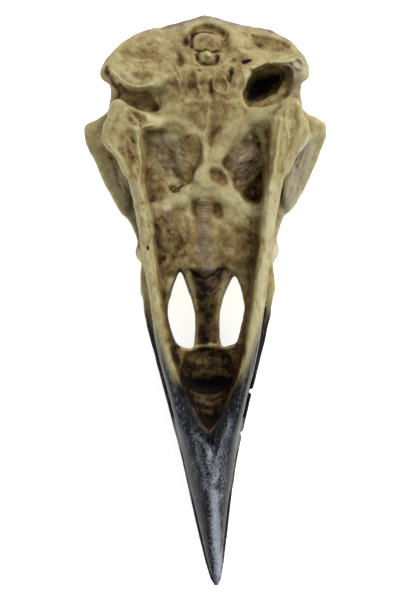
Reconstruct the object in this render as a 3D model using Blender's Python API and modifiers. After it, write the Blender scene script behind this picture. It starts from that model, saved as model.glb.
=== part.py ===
"""A crow's skull, cast life-size in resin and painted, lying on its crown with the throat side up.

The skull is drawn in its own frame, in millimetres: +X to its right side, +Y from the tip of the
bill to the nape, +Z from the crown to the throat, with Z = 0 where the two halves of the bill meet.
Each bone is a node of its own. The braincase, the eye sockets' roof and the root of the bill are
modelled whole and parted with thin cuts; the slender bones are laid into the clearance cut for them.
At the end the bill's slight sideways bend is put in, the finished bones are tipped over until the
crown and the ridge of the bill both touch the ground, and the frame's origin is put under the
middle of the skull.
"""

import math

import bmesh
import bpy
from mathutils import Matrix, Vector

# Driving dimensions, in millimetres
MM = 0.001
NAPE_Y = 45.3
BILL_TIP_Y = -45.3
CROWN_Z = -21.2
THROAT_Z = 8.0
GAPE_GAP = 0.3
BONE_GAP = 0.35

# The front of the bill bends to the skull's right: how far at the tip, and from where
BILL_BEND = 0.95
BILL_BEND_START_Y = -18.0

# Where the whole skull is parted: behind the eye sockets, at the hinge of the bill, and where
# the bill's root passes into its solid front
BRAINCASE_CUT_Y = 24.0
BILL_HINGE_Y = 4.9
BILL_FRONT_Y = -9.0
JAW_JOINT_CUT_Y = 23.0
LOWER_BILL_CUT_Y = -16.0

# Fineness of the fused bones, and the triangles left in each after thinning
VOXEL = 0.5
FINE_VOXEL = 0.3
SKULL_TRIANGLES = 4300
BRAINCASE_TRIANGLES = 2500
PALATE_TRIANGLES = 460
JAW_JOINT_TRIANGLES = 300
LOWER_BILL_TRIANGLES = 640
QUADRATE_TRIANGLES = 140
RING_POINTS = 14

# The upper bill, station by station: y, half width, ridge z, cutting edge z
UPPER_BILL = (
    (7.0, 10.3, -11.9, -2.6),
    (3.0, 10.6, -12.0, -1.1),
    (-1.0, 10.3, -12.1, -0.6),
    (-5.0, 9.5, -12.0, -0.3),
    (-8.0, 8.7, -11.8, -0.25),
    (-11.5, 7.8, -11.4, -0.2),
    (-16.3, 6.55, -10.5, -0.15),
    (-22.2, 5.1, -9.0, -0.15),
    (-28.8, 3.75, -6.9, -0.1),
    (-32.8, 3.05, -5.3, -0.05),
    (-37.6, 2.25, -3.2, 0.1),
    (-41.8, 1.5, -1.2, 0.5),
    (-44.4, 0.8, 0.2, 0.95),
    (BILL_TIP_Y, 0.3, 0.85, 1.2),
)

# The lower jaw, station by station: y, outer half width, inner half width, gape z, throat z
LOWER_JAW = (
    (25.5, 15.1, 10.3, 0.9, 6.8),
    (22.5, 13.6, 10.0, 0.4, 7.3),
    (18.8, 12.5, 9.6, 0.0, 7.8),
    (14.5, 11.5, 8.7, 0.0, THROAT_Z),
    (10.4, 10.8, 8.0, 0.2, THROAT_Z),
    (6.5, 10.1, 7.6, GAPE_GAP, 7.9),
    (0.0, 9.35, 7.0, GAPE_GAP, 7.7),
    (-4.2, 8.8, 6.4, GAPE_GAP, 7.5),
    (-7.8, 8.2, 5.6, GAPE_GAP, 7.3),
    (-11.5, 7.3, 5.0, GAPE_GAP, 7.0),
    (-15.4, 6.4, 3.9, GAPE_GAP, 6.6),
    (-17.4, 5.9, 3.0, GAPE_GAP, 6.4),
    (-19.8, 5.3, 1.5, GAPE_GAP, 6.1),
    (-21.6, 4.8, 0.3, GAPE_GAP, 5.5),
    (-24.0, 3.9, 0.3, GAPE_GAP, 4.1),
    (-27.0, 2.7, 0.3, GAPE_GAP, 2.6),
)

# The lower bill in front of the fork, station by station: y, half width, gape z, keel z
LOWER_BILL = (
    (-20.9, 5.05, GAPE_GAP, 5.6),
    (-26.6, 3.85, GAPE_GAP + 0.05, 4.9),
    (-31.0, 2.95, GAPE_GAP + 0.1, 4.1),
    (-35.7, 2.15, GAPE_GAP + 0.25, 3.3),
    (-40.0, 1.45, 0.95, 2.7),
    (-43.2, 0.85, 1.4, 2.3),
    (-44.7, 0.35, 1.7, 2.15),
)

# The roof over the eye sockets, station by station: y, half width of the brim, brim z, crest z
ROOF = (
    (30.0, 16.0, -8.5, CROWN_Z + 0.2),
    (27.2, 19.4, -9.3, CROWN_Z),
    (25.0, 18.8, -10.3, CROWN_Z + 0.2),
    (20.6, 17.0, -11.4, -19.9),
    (15.7, 14.3, -11.6, -17.6),
    (11.0, 12.0, -10.9, -14.9),
    (6.6, 10.7, -9.6, -12.2),
    (3.0, 10.5, -8.4, -11.8),
)
BRIM_THICKNESS = 1.6

# The shield that faces the neck: half its outline, seen square on to the throat side
SHIELD = (
    (0.0, NAPE_Y), (2.2, 44.8), (4.8, 43.7), (8.2, 43.2), (11.0, 42.2), (13.8, 40.4),
    (15.7, 38.2), (16.8, 36.1), (15.4, 34.4), (10.0, 33.6), (0.0, 33.6),
)  # fmt: skip
SHIELD_THICKNESS = 3.2
SHIELD_SLOPE = 43.0
SHIELD_CENTRE = (-0.2, 40.0, -4.9)

# The bony palate: half its outline, from the joint with the pterygoids to the nostrils
PALATE = (
    (0.0, 17.9), (2.4, 17.6), (6.0, 16.0), (7.9, 14.2), (8.1, 11.0),
    (7.6, 7.0), (7.0, 5.4), (5.6, 5.3), (4.3, 6.2), (2.2, 5.3), (0.0, 5.4),
)  # fmt: skip
PALATE_TOP_Z = 0.3
PALATE_THICKNESS = 2.0

# Hollows cut into the whole skull: centre and half axes, and the tilt about X in degrees
EYE_SOCKET = ((11.7, 14.6, -4.4), (10.6, 9.0, 8.0), 0.0)
SOCKET_FLOOR = ((6.0, 21.2, 1.4), (5.0, 5.6, 6.0), 0.0)
EAR_HOLLOW_RIGHT = ((10.6, 32.9, 1.6), (4.3, 3.0, 8.4), 12.0)
EAR_HOLLOW_LEFT = ((-10.4, 32.2, 1.6), (3.8, 2.7, 6.4), 12.0)
NOSTRIL_SIDE = ((9.6, -1.2, -6.6), (6.2, 4.9, 2.9), 0.0)
BILL_CAVITY = ((0.0, -1.2, 0.6), (6.6, 6.4, 8.2), 0.0)
TEAR_GAP = ((10.6, 4.6, -6.4), (4.2, 1.5, 2.9), -8.0)
PALATAL_DIP = ((0.0, -14.6, 0.9), (5.2, 7.6, 5.6), 0.0)
PALATE_BED = ((-9.5, 4.0, -2.1), (9.5, 18.4, 6.0))
FORAMEN = ((0.1, 40.8, -3.5), (2.7, 2.7, 1.5), -43.0)

# The openings right through the bill's root, seen from the throat side: the +X one's outline
NOSTRIL_WELL = (
    (4.1, 4.4), (5.1, 3.2), (5.7, 1.8), (6.1, -0.2), (6.2, -1.6), (5.9, -3.2), (5.4, -4.6),
    (4.9, -6.2), (4.2, -7.2), (3.0, -7.5), (2.2, -7.0), (1.95, -5.4), (1.95, -2.6),
    (2.3, -0.4), (2.8, 1.4), (3.3, 3.0),
)  # fmt: skip

# Slender bones: centre line and radius at each point, given for the +X side
JUGAL = (((13.7, 26.6, -1.3), 0.75), ((13.9, 20.0, -1.7), 0.75), ((12.2, 12.0, -1.9), 0.75),
         ((10.2, 5.6, -1.9), 0.85))  # fmt: skip
PTERYGOID = (((7.3, 29.2, 2.5), 1.3), ((4.9, 28.6, 2.3), 1.25), ((2.8, 26.0, 2.0), 1.2),
             ((1.6, 22.6, 1.6), 1.1), ((1.25, 18.7, 1.1), 0.95))  # fmt: skip
POSTORBITAL = (((17.6, 26.9, -9.0), 1.8), ((16.6, 26.4, -6.0), 1.2), ((15.6, 25.7, -3.6), 0.7))
ZYGOMATIC = (((13.6, 31.0, -7.0), 1.6), ((15.0, 29.4, -5.0), 1.0), ((15.3, 27.9, -3.4), 0.6))
LACRIMAL = (((9.9, 8.2, -11.0), 1.5), ((10.1, 7.4, -7.0), 1.1), ((10.0, 6.9, -3.9), 0.9))
NASAL_STRUT = (((8.6, 3.0, -10.8), 1.3), ((9.3, 2.2, -6.0), 1.1), ((9.2, 1.4, -2.2), 1.3))
ROSTRUM = (((0.0, 28.0, -1.4), 1.8), ((0.0, 21.0, -2.2), 1.6), ((0.0, 6.0, -3.4), 1.2))
VOMER = (((0.0, 13.6, 0.1), 1.0), ((0.0, 9.0, 0.5), 1.0), ((0.0, 5.6, 0.3), 1.0))
PALATE_RIM = (((0.6, 17.2, 0.4), 1.0), ((4.2, 16.4, 0.5), 0.9), ((7.4, 14.0, 0.3), 0.8))
QUADRATE_ARM = (((12.4, 28.6, -2.6), 1.1), ((10.4, 26.6, -3.4), 0.8), ((9.2, 25.2, -3.8), 0.6))
MEDIAL_ARM = (((13.6, 29.2, 4.0), 2.2), ((10.6, 29.9, 3.5), 1.7), ((7.9, 29.3, 2.8), 1.35))

# Rounded masses: centre and half axes
BRAINCASE = ((0.0, 30.4, -9.4), (15.1, 13.9, 11.4))
FOREHEAD = ((0.0, 21.5, -10.6), (12.0, 13.5, 10.3))
EAR_WALL = ((13.0, 33.0, -5.5), (2.2, 4.0, 5.6))
BASE_PLATE = ((0.0, 31.0, -0.9), (8.6, 6.4, 2.5))
CONDYLE = ((0.1, 38.9, -1.1), (1.0, 1.0, 1.0))
QUADRATE_BODY = ((13.0, 29.4, -2.0), (2.1, 2.0, 2.6))
JAW_JOINT_BODY = ((13.9, 28.3, 4.0), (2.6, 3.6, 2.5))
JAW_JOINT_CORNER = (((14.4, 28.8, 4.2), 1.9), ((14.3, 31.2, 3.8), 1.0))


# ---------------------------------------------------------------- measuring and placing


def millimetres(point):
    return Vector(point) * MM


def mirrored(points, side):
    """The points of a +X feature on the given side: +1 as they are, -1 across the middle."""
    return tuple(((side * x, y, z), radius) for (x, y, z), radius in points)


def across(hollow, side):
    (x, y, z), axes, tilt = hollow
    return (side * x, y, z), axes, tilt


def station_at(stations, y):
    """The values at y between the stations, along a smooth curve through them."""
    last = len(stations) - 1
    i = next((k for k in range(last) if stations[k + 1][0] <= y), last - 1)
    before, start, end, after = (stations[max(0, min(last, k))] for k in (i - 1, i, i + 1, i + 2))
    t = (y - start[0]) / (end[0] - start[0])
    values = []
    for p0, p1, p2, p3 in zip(before[1:], start[1:], end[1:], after[1:]):
        slope_start, slope_end = (p2 - p0) / 2, (p3 - p1) / 2
        values.append(
            p1 + t * slope_start
            + t * t * (3 * (p2 - p1) - 2 * slope_start - slope_end)
            + t * t * t * (2 * (p1 - p2) + slope_start + slope_end)
        )  # fmt: skip
    return values


def steps_between(first, last, spacing):
    count = max(2, round(abs(last - first) / spacing) + 1)
    return [first + (last - first) * i / (count - 1) for i in range(count)]


# ---------------------------------------------------------------- shapes


def new_object(name, mesh, collection):
    made = bpy.data.objects.new(name, mesh)
    collection.objects.link(made)
    return made


def mesh_of(shape):
    mesh = bpy.data.meshes.new("shape")
    shape.to_mesh(mesh)
    shape.free()
    return mesh


def rounded_mass(centre, half_axes, tilt=0.0):
    shape = bmesh.new()
    place = (
        Matrix.Translation(millimetres(centre))
        @ Matrix.Rotation(math.radians(tilt), 4, "X")
        @ Matrix.Diagonal((*millimetres(half_axes), 1))
    )
    bmesh.ops.create_uvsphere(shape, u_segments=24, v_segments=16, radius=1, matrix=place)
    return mesh_of(shape)


def block(low, high):
    """A box between two corners."""
    low, high = millimetres(low), millimetres(high)
    shape = bmesh.new()
    place = Matrix.Translation((low + high) / 2) @ Matrix.Diagonal((*(high - low), 1))
    bmesh.ops.create_cube(shape, size=1, matrix=place)
    return mesh_of(shape)


def settled(source):
    """The mesh that a curve or a set of modifiers makes, in place of the object that made it."""
    bpy.context.view_layer.update()
    graph = bpy.context.evaluated_depsgraph_get()
    mesh = bpy.data.meshes.new_from_object(source.evaluated_get(graph))
    mesh.transform(source.matrix_world)
    bpy.data.objects.remove(source)
    return mesh


def face_outwards(shape):
    bmesh.ops.recalc_face_normals(shape, faces=shape.faces)
    if shape.calc_volume(signed=True) < 0:
        bmesh.ops.reverse_faces(shape, faces=shape.faces)


def weld(mesh, distance=0.02):
    shape = bmesh.new()
    shape.from_mesh(mesh)
    bmesh.ops.remove_doubles(shape, verts=shape.verts, dist=distance * MM)
    face_outwards(shape)
    shape.to_mesh(mesh)
    shape.free()
    return mesh


def slender_bone(points, extra=0.0, ring=2):
    """A bar along a smooth line through the points, with their radii; extra thickens it."""
    line = bpy.data.curves.new("line", "CURVE")
    line.dimensions = "3D"
    line.bevel_depth = MM
    line.bevel_resolution = ring
    line.use_fill_caps = True
    spline = line.splines.new("POLY")
    smooth = smooth_line(points)
    spline.points.add(len(smooth) - 1)
    for knot, (place, radius) in zip(spline.points, smooth):
        knot.co = (*millimetres(place), 1)
        knot.radius = radius + extra
    return weld(settled(new_object("line", line, bpy.context.scene.collection)))


def smooth_line(points, pieces=3):
    """The points and radii, and more between them, on a Catmull-Rom curve."""
    rows = [(*place, radius) for place, radius in points]
    found = []
    for i in range(len(rows) - 1):
        four = [rows[max(0, min(len(rows) - 1, k))] for k in (i - 1, i, i + 1, i + 2)]
        for step in range(pieces):
            t = step / pieces
            row = [
                0.5 * (2 * p1 + (p2 - p0) * t + (2 * p0 - 5 * p1 + 4 * p2 - p3) * t * t
                       + (3 * p1 - p0 - 3 * p2 + p3) * t ** 3)
                for p0, p1, p2, p3 in zip(*four)
            ]  # fmt: skip
            found.append((tuple(row[:3]), row[3]))
    return [*found, (points[-1][0], points[-1][1])]


def plate(half_outline, thickness, centre, slope=0.0):
    """A flat bone from half its outline, seen from the throat side and tilted about X by slope."""
    stretch = math.cos(math.radians(slope))
    other_half = [(-x, y) for x, y in reversed(half_outline) if x > 0]
    outline = bpy.data.curves.new("outline", "CURVE")
    outline.dimensions = "2D"
    outline.fill_mode = "BOTH"
    outline.extrude = thickness / 2 * MM
    spline = outline.splines.new("POLY")
    corners = [*half_outline, *other_half]
    spline.points.add(len(corners) - 1)
    for knot, (x, y) in zip(spline.points, corners):
        knot.co = (x * MM, (y - centre[1]) / stretch * MM, 0, 1)
    spline.use_cyclic_u = True
    made = new_object("outline", outline, bpy.context.scene.collection)
    made.location = millimetres(centre)
    made.rotation_euler.x = -math.radians(slope)
    return weld(settled(made))


def prism(outline, side):
    """A cutter as tall as the skull, from an outline on the +X side seen from the throat."""
    reach = 40
    low, high = ([(side * x, y, z) for x, y in outline] for z in (-reach, reach))
    return loft((low, high))


def loft(rings):
    """A closed skin over rings of points, each ring with as many as the next."""
    shape = bmesh.new()
    rows = [[shape.verts.new(millimetres(point)) for point in ring] for ring in rings]
    for one, other in zip(rows, rows[1:]):
        for i in range(len(one)):
            j = (i + 1) % len(one)
            shape.faces.new((one[i], one[j], other[j], other[i]))
    shape.faces.new(rows[0])
    shape.faces.new(rows[-1])
    face_outwards(shape)
    return mesh_of(shape)


def arch_ring(y, half_width, edge_z, crest_z, fullness, points=RING_POINTS):
    """A half-round section in a plane across the skull, flat along its edge."""
    ring = []
    for i in range(points):
        angle = math.pi * i / (points - 1)
        across_part = abs(math.cos(angle)) ** (2 / fullness)
        up_part = abs(math.sin(angle)) ** (2 / fullness)
        x = math.copysign(half_width * across_part, math.cos(angle))
        ring.append((x, y, edge_z + (crest_z - edge_z) * up_part))
    return ring


def oval_ring(y, centre_x, half_thickness, low_z, high_z, fullness, points=RING_POINTS):
    """A closed oval section in a plane across the skull."""
    ring = []
    for i in range(points):
        angle = 2 * math.pi * i / points
        across_part = abs(math.cos(angle)) ** (2 / fullness)
        up_part = abs(math.sin(angle)) ** (2 / fullness)
        x = centre_x + math.copysign(half_thickness * across_part, math.cos(angle))
        half_height = (high_z - low_z) / 2
        z = (low_z + high_z) / 2 + math.copysign(half_height * up_part, math.sin(angle))
        ring.append((x, y, z))
    return ring


# ---------------------------------------------------------------- joining and parting


def joined(meshes):
    shape = bmesh.new()
    for mesh in meshes:
        shape.from_mesh(mesh)
        bpy.data.meshes.remove(mesh)
    return mesh_of(shape)


def fused(meshes, softness, voxel=VOXEL):
    """One body from overlapping shapes, with the creases between them rounded off."""
    body = new_object("body", joined(meshes), bpy.context.scene.collection)
    remesh = body.modifiers.new("fuse", "REMESH")
    remesh.mode = "VOXEL"
    remesh.voxel_size = voxel * MM
    smooth = body.modifiers.new("soften", "SMOOTH")
    smooth.factor = 0.5
    smooth.iterations = softness
    return settled(body)


def boolean(mesh, cutter_mesh, operation):
    scene = bpy.context.scene.collection
    body = new_object("body", mesh, scene)
    cutter = new_object("cutter", cutter_mesh, CUTTERS)
    cutter.hide_render = True
    cutter.display_type = "WIRE"
    cut = body.modifiers.new("cut", "BOOLEAN")
    cut.operation = operation
    cut.object = cutter
    made = settled(body)
    bpy.data.objects.remove(cutter)
    return made


def carved(mesh, cutter_meshes):
    for cutter_mesh in cutter_meshes:
        mesh = boolean(mesh, cutter_mesh, "DIFFERENCE")
    return mesh


def thinned(mesh, triangles):
    body = new_object("body", mesh, bpy.context.scene.collection)
    mesh.calc_loop_triangles()
    thin = body.modifiers.new("thin", "DECIMATE")
    thin.ratio = min(1.0, triangles / len(mesh.loop_triangles))
    return settled(body)


def slab_between(y_front, y_back):
    """A box across the whole skull between two planes."""
    reach = 60
    return block((-reach, y_front, -reach), (reach, y_back, reach))


def section(mesh, y_front, y_back):
    """The part of a bone between two planes, half a gap short of each."""
    half = BONE_GAP / 2
    return boolean(mesh.copy(), slab_between(y_front + half, y_back - half), "INTERSECT")


# ---------------------------------------------------------------- the bones


def roof_mesh():
    """The brow: an arch from the hinge of the bill to the back of the sockets."""
    rings = []
    for y in steps_between(ROOF[0][0], ROOF[-1][0], 1.6):
        half_width, brim_z, crest_z = station_at(ROOF, y)
        rings.append(arch_ring(y, half_width, brim_z + BRIM_THICKNESS, crest_z, 2.1))
    return loft(rings)


def upper_bill_mesh(y_back, y_front, spacing):
    rings = []
    for y in steps_between(y_back, y_front, spacing):
        half_width, ridge_z, edge_z = station_at(UPPER_BILL, y)
        rings.append(arch_ring(y, half_width, edge_z, ridge_z, 1.9))
    return loft(rings)


def skull_mesh():
    """Braincase, brow, sockets and the root of the bill, as one body."""
    solids = [
        rounded_mass(*BRAINCASE),
        rounded_mass(*FOREHEAD),
        rounded_mass(*BASE_PLATE),
        rounded_mass(*CONDYLE),
        roof_mesh(),
        upper_bill_mesh(UPPER_BILL[0][0], BILL_FRONT_Y - 2, 1.5),
        plate(SHIELD, SHIELD_THICKNESS, SHIELD_CENTRE, SHIELD_SLOPE),
    ]
    hollows = [rounded_mass(*hollow) for hollow in (PALATAL_DIP, BILL_CAVITY, FORAMEN)]
    hollows += [rounded_mass(*EAR_HOLLOW_LEFT), rounded_mass(*EAR_HOLLOW_RIGHT)]
    late_solids = [slender_bone(ROSTRUM)]
    for side in (1, -1):
        centre, axes = EAR_WALL
        solids.append(rounded_mass((side * centre[0], *centre[1:]), axes))
        for hollow in (EYE_SOCKET, SOCKET_FLOOR, NOSTRIL_SIDE, TEAR_GAP):
            hollows.append(rounded_mass(*across(hollow, side)))
        hollows.append(prism(NOSTRIL_WELL, side))
        for bone in (POSTORBITAL, ZYGOMATIC, LACRIMAL, NASAL_STRUT):
            late_solids.append(slender_bone(mirrored(bone, side)))
    whole = carved(fused(solids, 3), hollows)
    return fused([whole, *late_solids], 2)


def palate_mesh():
    centre = (0, 0, PALATE_TOP_Z - PALATE_THICKNESS / 2)
    solids = [plate(PALATE, PALATE_THICKNESS, centre), slender_bone(VOMER)]
    solids += [slender_bone(mirrored(PALATE_RIM, side)) for side in (1, -1)]
    return thinned(fused(solids, 2), PALATE_TRIANGLES)


def quadrate_mesh(side):
    (x, y, z), axes = QUADRATE_BODY
    solids = [rounded_mass((side * x, y, z), axes), slender_bone(mirrored(QUADRATE_ARM, side))]
    return thinned(fused(solids, 2), QUADRATE_TRIANGLES)


def ramus_mesh(side):
    """One branch of the lower jaw, from its joint to the fork."""
    rings = []
    for y in steps_between(LOWER_JAW[0][0], LOWER_JAW[-1][0], 2.6):
        outer, inner, gape_z, throat_z = station_at(LOWER_JAW, y)
        middle, half = side * (outer + inner) / 2, (outer - inner) / 2
        rings.append(oval_ring(y, middle, half, gape_z, throat_z, 2.5, 12))
    return loft(rings)


def jaw_joint_mesh(side):
    (x, y, z), axes = JAW_JOINT_BODY
    solids = [
        rounded_mass((side * x, y, z), axes),
        slender_bone(mirrored(MEDIAL_ARM, side)),
        slender_bone(mirrored(JAW_JOINT_CORNER, side)),
        ramus_mesh(side),
    ]
    whole = fused(solids, 2)
    joint = section(whole, JAW_JOINT_CUT_Y, NAPE_Y)
    return thinned(joint, JAW_JOINT_TRIANGLES)


def lower_bill_mesh():
    rings = []
    for y in steps_between(LOWER_BILL[0][0], LOWER_BILL[-1][0], 2.2):
        half_width, gape_z, keel_z = station_at(LOWER_BILL, y)
        rings.append(arch_ring(y, half_width, gape_z, keel_z, 1.75))
    whole = fused([loft(rings), ramus_mesh(1), ramus_mesh(-1)], 2, FINE_VOXEL)
    return thinned(section(whole, -60, LOWER_BILL_CUT_Y), LOWER_BILL_TRIANGLES)


# ---------------------------------------------------------------- finish and assembly


def painted(name, colour, roughness):
    material = bpy.data.materials.new(name)
    material.use_nodes = True
    surface = material.node_tree.nodes["Principled BSDF"]
    surface.inputs["Base Color"].default_value = (*colour, 1)
    surface.inputs["Roughness"].default_value = roughness
    material.diffuse_color = (*colour, 1)
    return material


def bone(name, mesh, material):
    weld(mesh, 0.001)
    mesh.materials.clear()
    mesh.materials.append(material)
    mesh.shade_smooth()
    mesh.set_sharp_from_angle(angle=math.radians(50))
    return new_object(name, mesh, BONES)


def clearance(points, side):
    return slender_bone(mirrored(points, side), extra=BONE_GAP)


def beds_in_braincase(side):
    """Cutters that clear the way for the small bones that lie against the braincase."""
    (x, y, z), axes = QUADRATE_BODY
    grown = tuple(axis + BONE_GAP for axis in axes)
    body = rounded_mass((side * x, y, z), grown)
    return [body, clearance(PTERYGOID, side), clearance(QUADRATE_ARM, side)]


def build_skull(bone_paint, horn_paint):
    whole = thinned(skull_mesh(), SKULL_TRIANGLES)
    braincase = section(whole, BRAINCASE_CUT_Y, 60)
    braincase = carved(braincase, [*beds_in_braincase(1), *beds_in_braincase(-1)])
    bone("braincase", thinned(braincase, BRAINCASE_TRIANGLES), bone_paint)
    sockets = section(whole, BILL_HINGE_Y, BRAINCASE_CUT_Y)
    sockets = carved(sockets, [block(*PALATE_BED), clearance(JUGAL, 1), clearance(JUGAL, -1)])
    bone("eye_sockets", sockets, bone_paint)
    bone("bill_root", section(whole, BILL_FRONT_Y, BILL_HINGE_Y), bone_paint)
    front = upper_bill_mesh(BILL_FRONT_Y - BONE_GAP / 2, BILL_TIP_Y, 2.4)
    bone("upper_bill", carved(front, [rounded_mass(*PALATAL_DIP)]), horn_paint)
    bone("palate", palate_mesh(), bone_paint)
    for side, word in ((-1, "left"), (1, "right")):
        bone(f"jugal_bar_{word}", slender_bone(mirrored(JUGAL, side)), bone_paint)
        bone(f"pterygoid_{word}", slender_bone(mirrored(PTERYGOID, side)), bone_paint)
        bone(f"quadrate_{word}", quadrate_mesh(side), bone_paint)


def build_lower_jaw(bone_paint, horn_paint):
    for side, word in ((-1, "left"), (1, "right")):
        ramus = section(ramus_mesh(side), LOWER_BILL_CUT_Y, JAW_JOINT_CUT_Y)
        bone(f"jaw_branch_{word}", ramus, bone_paint)
        bone(f"jaw_joint_{word}", jaw_joint_mesh(side), bone_paint)
    bone("lower_bill", lower_bill_mesh(), horn_paint)


def bend_bill():
    for made in BONES.objects:
        for vertex in made.data.vertices:
            reach = max(0.0, BILL_BEND_START_Y * MM - vertex.co.y)
            along = reach / ((BILL_BEND_START_Y - BILL_TIP_Y) * MM)
            vertex.co.x += BILL_BEND * MM * along * along


def lay_on_crown():
    """Tips the bones until the crown and the bill's ridge touch the ground, origin under the middle."""
    points = [vertex.co for made in BONES.objects for vertex in made.data.vertices]

    def lowest(tilt, wanted):
        turn = Matrix.Rotation(tilt, 3, "X")
        return min((turn @ p).z for p in points if wanted(p.y))

    level, steep = 0.0, math.radians(40)
    for _ in range(40):
        tilt = (level + steep) / 2
        bill_hangs = lowest(tilt, lambda y: y < 5 * MM) < lowest(tilt, lambda y: y >= 5 * MM)
        level, steep = (level, tilt) if bill_hangs else (tilt, steep)
    turned = [Matrix.Rotation(tilt, 3, "X") @ p for p in points]
    middle = [(min(p[k] for p in turned) + max(p[k] for p in turned)) / 2 for k in (0, 1)]
    pose = bpy.data.objects.new("resting_pose", None)
    bpy.context.scene.collection.objects.link(pose)
    pose.rotation_euler.x = tilt
    pose.location = (-middle[0], -middle[1], -min(p.z for p in turned))
    for made in BONES.objects:
        made.parent = pose


def named_collection(name):
    made = bpy.data.collections.new(name)
    bpy.context.scene.collection.children.link(made)
    return made


for old in list(bpy.data.objects):
    bpy.data.objects.remove(old)
BONES = named_collection("crow_skull")
CUTTERS = named_collection("cutters")

cast_bone = painted("cast_bone", (0.38, 0.33, 0.2), 0.55)
black_bill = painted("black_bill", (0.012, 0.012, 0.016), 0.35)
build_skull(cast_bone, black_bill)
build_lower_jaw(cast_bone, black_bill)
bend_bill()
lay_on_crown()
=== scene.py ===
"""A crow's skull cast life-size in resin and painted by hand, lying on its crown, throat side up.

The cast is sculpted as a maker would: masses of clay are added and hollows cut, the ridges and
cracks are drawn into the surface, and then it is skinned, laid in its resting pose and painted.
The sculpting is done in the skull's own frame, in millimetres: +X to its right side, +Y from the
tip of the bill to the nape, +Z from the crown to the throat, with Z = 0 where the bill closes.
"""

import math

import bpy
import numpy as np
from mathutils import Matrix, Vector


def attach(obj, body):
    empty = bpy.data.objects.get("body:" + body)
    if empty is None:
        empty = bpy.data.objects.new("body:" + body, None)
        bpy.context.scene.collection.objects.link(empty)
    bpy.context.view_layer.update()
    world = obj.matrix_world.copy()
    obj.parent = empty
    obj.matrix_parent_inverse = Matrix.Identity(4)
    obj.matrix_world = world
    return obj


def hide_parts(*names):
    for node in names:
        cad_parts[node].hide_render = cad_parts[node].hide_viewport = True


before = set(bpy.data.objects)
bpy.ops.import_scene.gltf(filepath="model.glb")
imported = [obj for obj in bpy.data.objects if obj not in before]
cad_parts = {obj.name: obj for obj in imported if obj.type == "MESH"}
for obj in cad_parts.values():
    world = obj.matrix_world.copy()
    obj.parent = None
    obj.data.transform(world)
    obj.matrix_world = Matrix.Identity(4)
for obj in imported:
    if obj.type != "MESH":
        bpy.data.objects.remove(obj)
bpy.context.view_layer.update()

MM = 0.001
SIDES = ((-1, "left"), (1, "right"))

# How the finished skull lies: tipped over until the crown and the bill's ridge touch the ground
RESTING_TILT = 16.138
RESTING_PLACE = (-0.0035, -1.3528, 14.7553)

# The front of the bill bends to the skull's right: how far at the tip, and from where
BILL_TIP_Y = -45.3
BILL_BEND = 0.95
BILL_BEND_START_Y = -18.0

# The block of clay, how fine it is worked, and how far from the surface it is still measured
CLAY_LOW = (-21.0, -46.6, -22.6)
CLAY_HIGH = (21.0, 47.2, 9.8)
GRAIN = 0.19
FAR = 6.0

# The hand that draws wavers, over about this length
WAVER_LENGTH = 1.3

# Where the maker's thumb has smoothed the bill: from here forward fully, and from there back not at all
BILL_SMOOTHS_Y = (-12, -2)

# How far two parts of the cast run on into each other, and how far each has sunk in by there
LAP = 1.2
LAP_SINK = 0.02

# Where the cast is parted: the same bones as a person would name, each slightly lapped
BRAINCASE_CUT_Y = 24.0
BILL_HINGE_Y = 4.9
BILL_FRONT_Y = -9.0
JAW_JOINT_CUT_Y = 23.0
LOWER_BILL_CUT_Y = -16.0

# The upper bill, station by station: y, half width, cutting edge z, ridge z
UPPER_BILL = (
    (7.0, 10.3, -2.6, -11.9),
    (3.0, 10.6, -1.1, -12.0),
    (-1.0, 10.3, -0.6, -12.1),
    (-5.0, 9.5, -0.3, -12.0),
    (-8.0, 8.7, -0.25, -11.8),
    (-11.5, 7.8, -0.2, -11.4),
    (-16.3, 6.55, -0.15, -10.5),
    (-22.2, 5.1, -0.15, -9.0),
    (-28.8, 3.75, -0.1, -6.9),
    (-32.8, 3.05, -0.05, -5.3),
    (-37.6, 2.25, 0.1, -3.2),
    (-41.8, 1.5, 0.5, -1.2),
    (-44.4, 0.95, 0.95, 0.2),
    (BILL_TIP_Y, 0.45, 1.2, 0.85),
)

# A branch of the lower jaw, station by station: y, outer and inner half width, gape z, throat z
LOWER_JAW = (
    (27.5, 16.0, 10.4, 1.4, 6.4),
    (25.5, 15.4, 10.3, 0.9, 6.8),
    (22.5, 13.7, 10.2, 0.4, 7.3),
    (18.8, 12.3, 9.7, 0.0, 7.8),
    (14.5, 11.4, 8.9, 0.0, 8.0),
    (10.4, 10.7, 8.2, 0.2, 8.0),
    (6.5, 10.1, 7.7, 0.3, 7.9),
    (0.0, 9.2, 7.0, 0.3, 7.7),
    (-4.2, 8.6, 6.3, 0.3, 7.5),
    (-7.8, 8.0, 5.6, 0.3, 7.3),
    (-11.5, 7.2, 4.9, 0.3, 7.0),
    (-15.4, 6.2, 3.8, 0.3, 6.6),
    (-17.4, 5.7, 2.9, 0.3, 6.4),
    (-19.8, 5.1, 1.4, 0.3, 6.1),
    (-21.6, 4.5, 0.3, 0.3, 5.5),
    (-24.0, 3.7, 0.3, 0.3, 4.1),
    (-27.0, 2.6, 0.3, 0.3, 2.6),
)

# The lower bill in front of the fork, station by station: y, half width, gape z, keel z
LOWER_BILL = (
    (-19.0, 5.3, 0.3, 5.8),
    (-20.9, 5.05, 0.3, 5.8),
    (-26.6, 3.85, 0.35, 5.0),
    (-31.0, 2.95, 0.4, 4.2),
    (-35.7, 2.15, 0.55, 3.4),
    (-40.0, 1.45, 0.95, 2.75),
    (-43.2, 0.85, 1.4, 2.35),
    (-44.7, 0.35, 1.7, 2.2),
)

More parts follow.
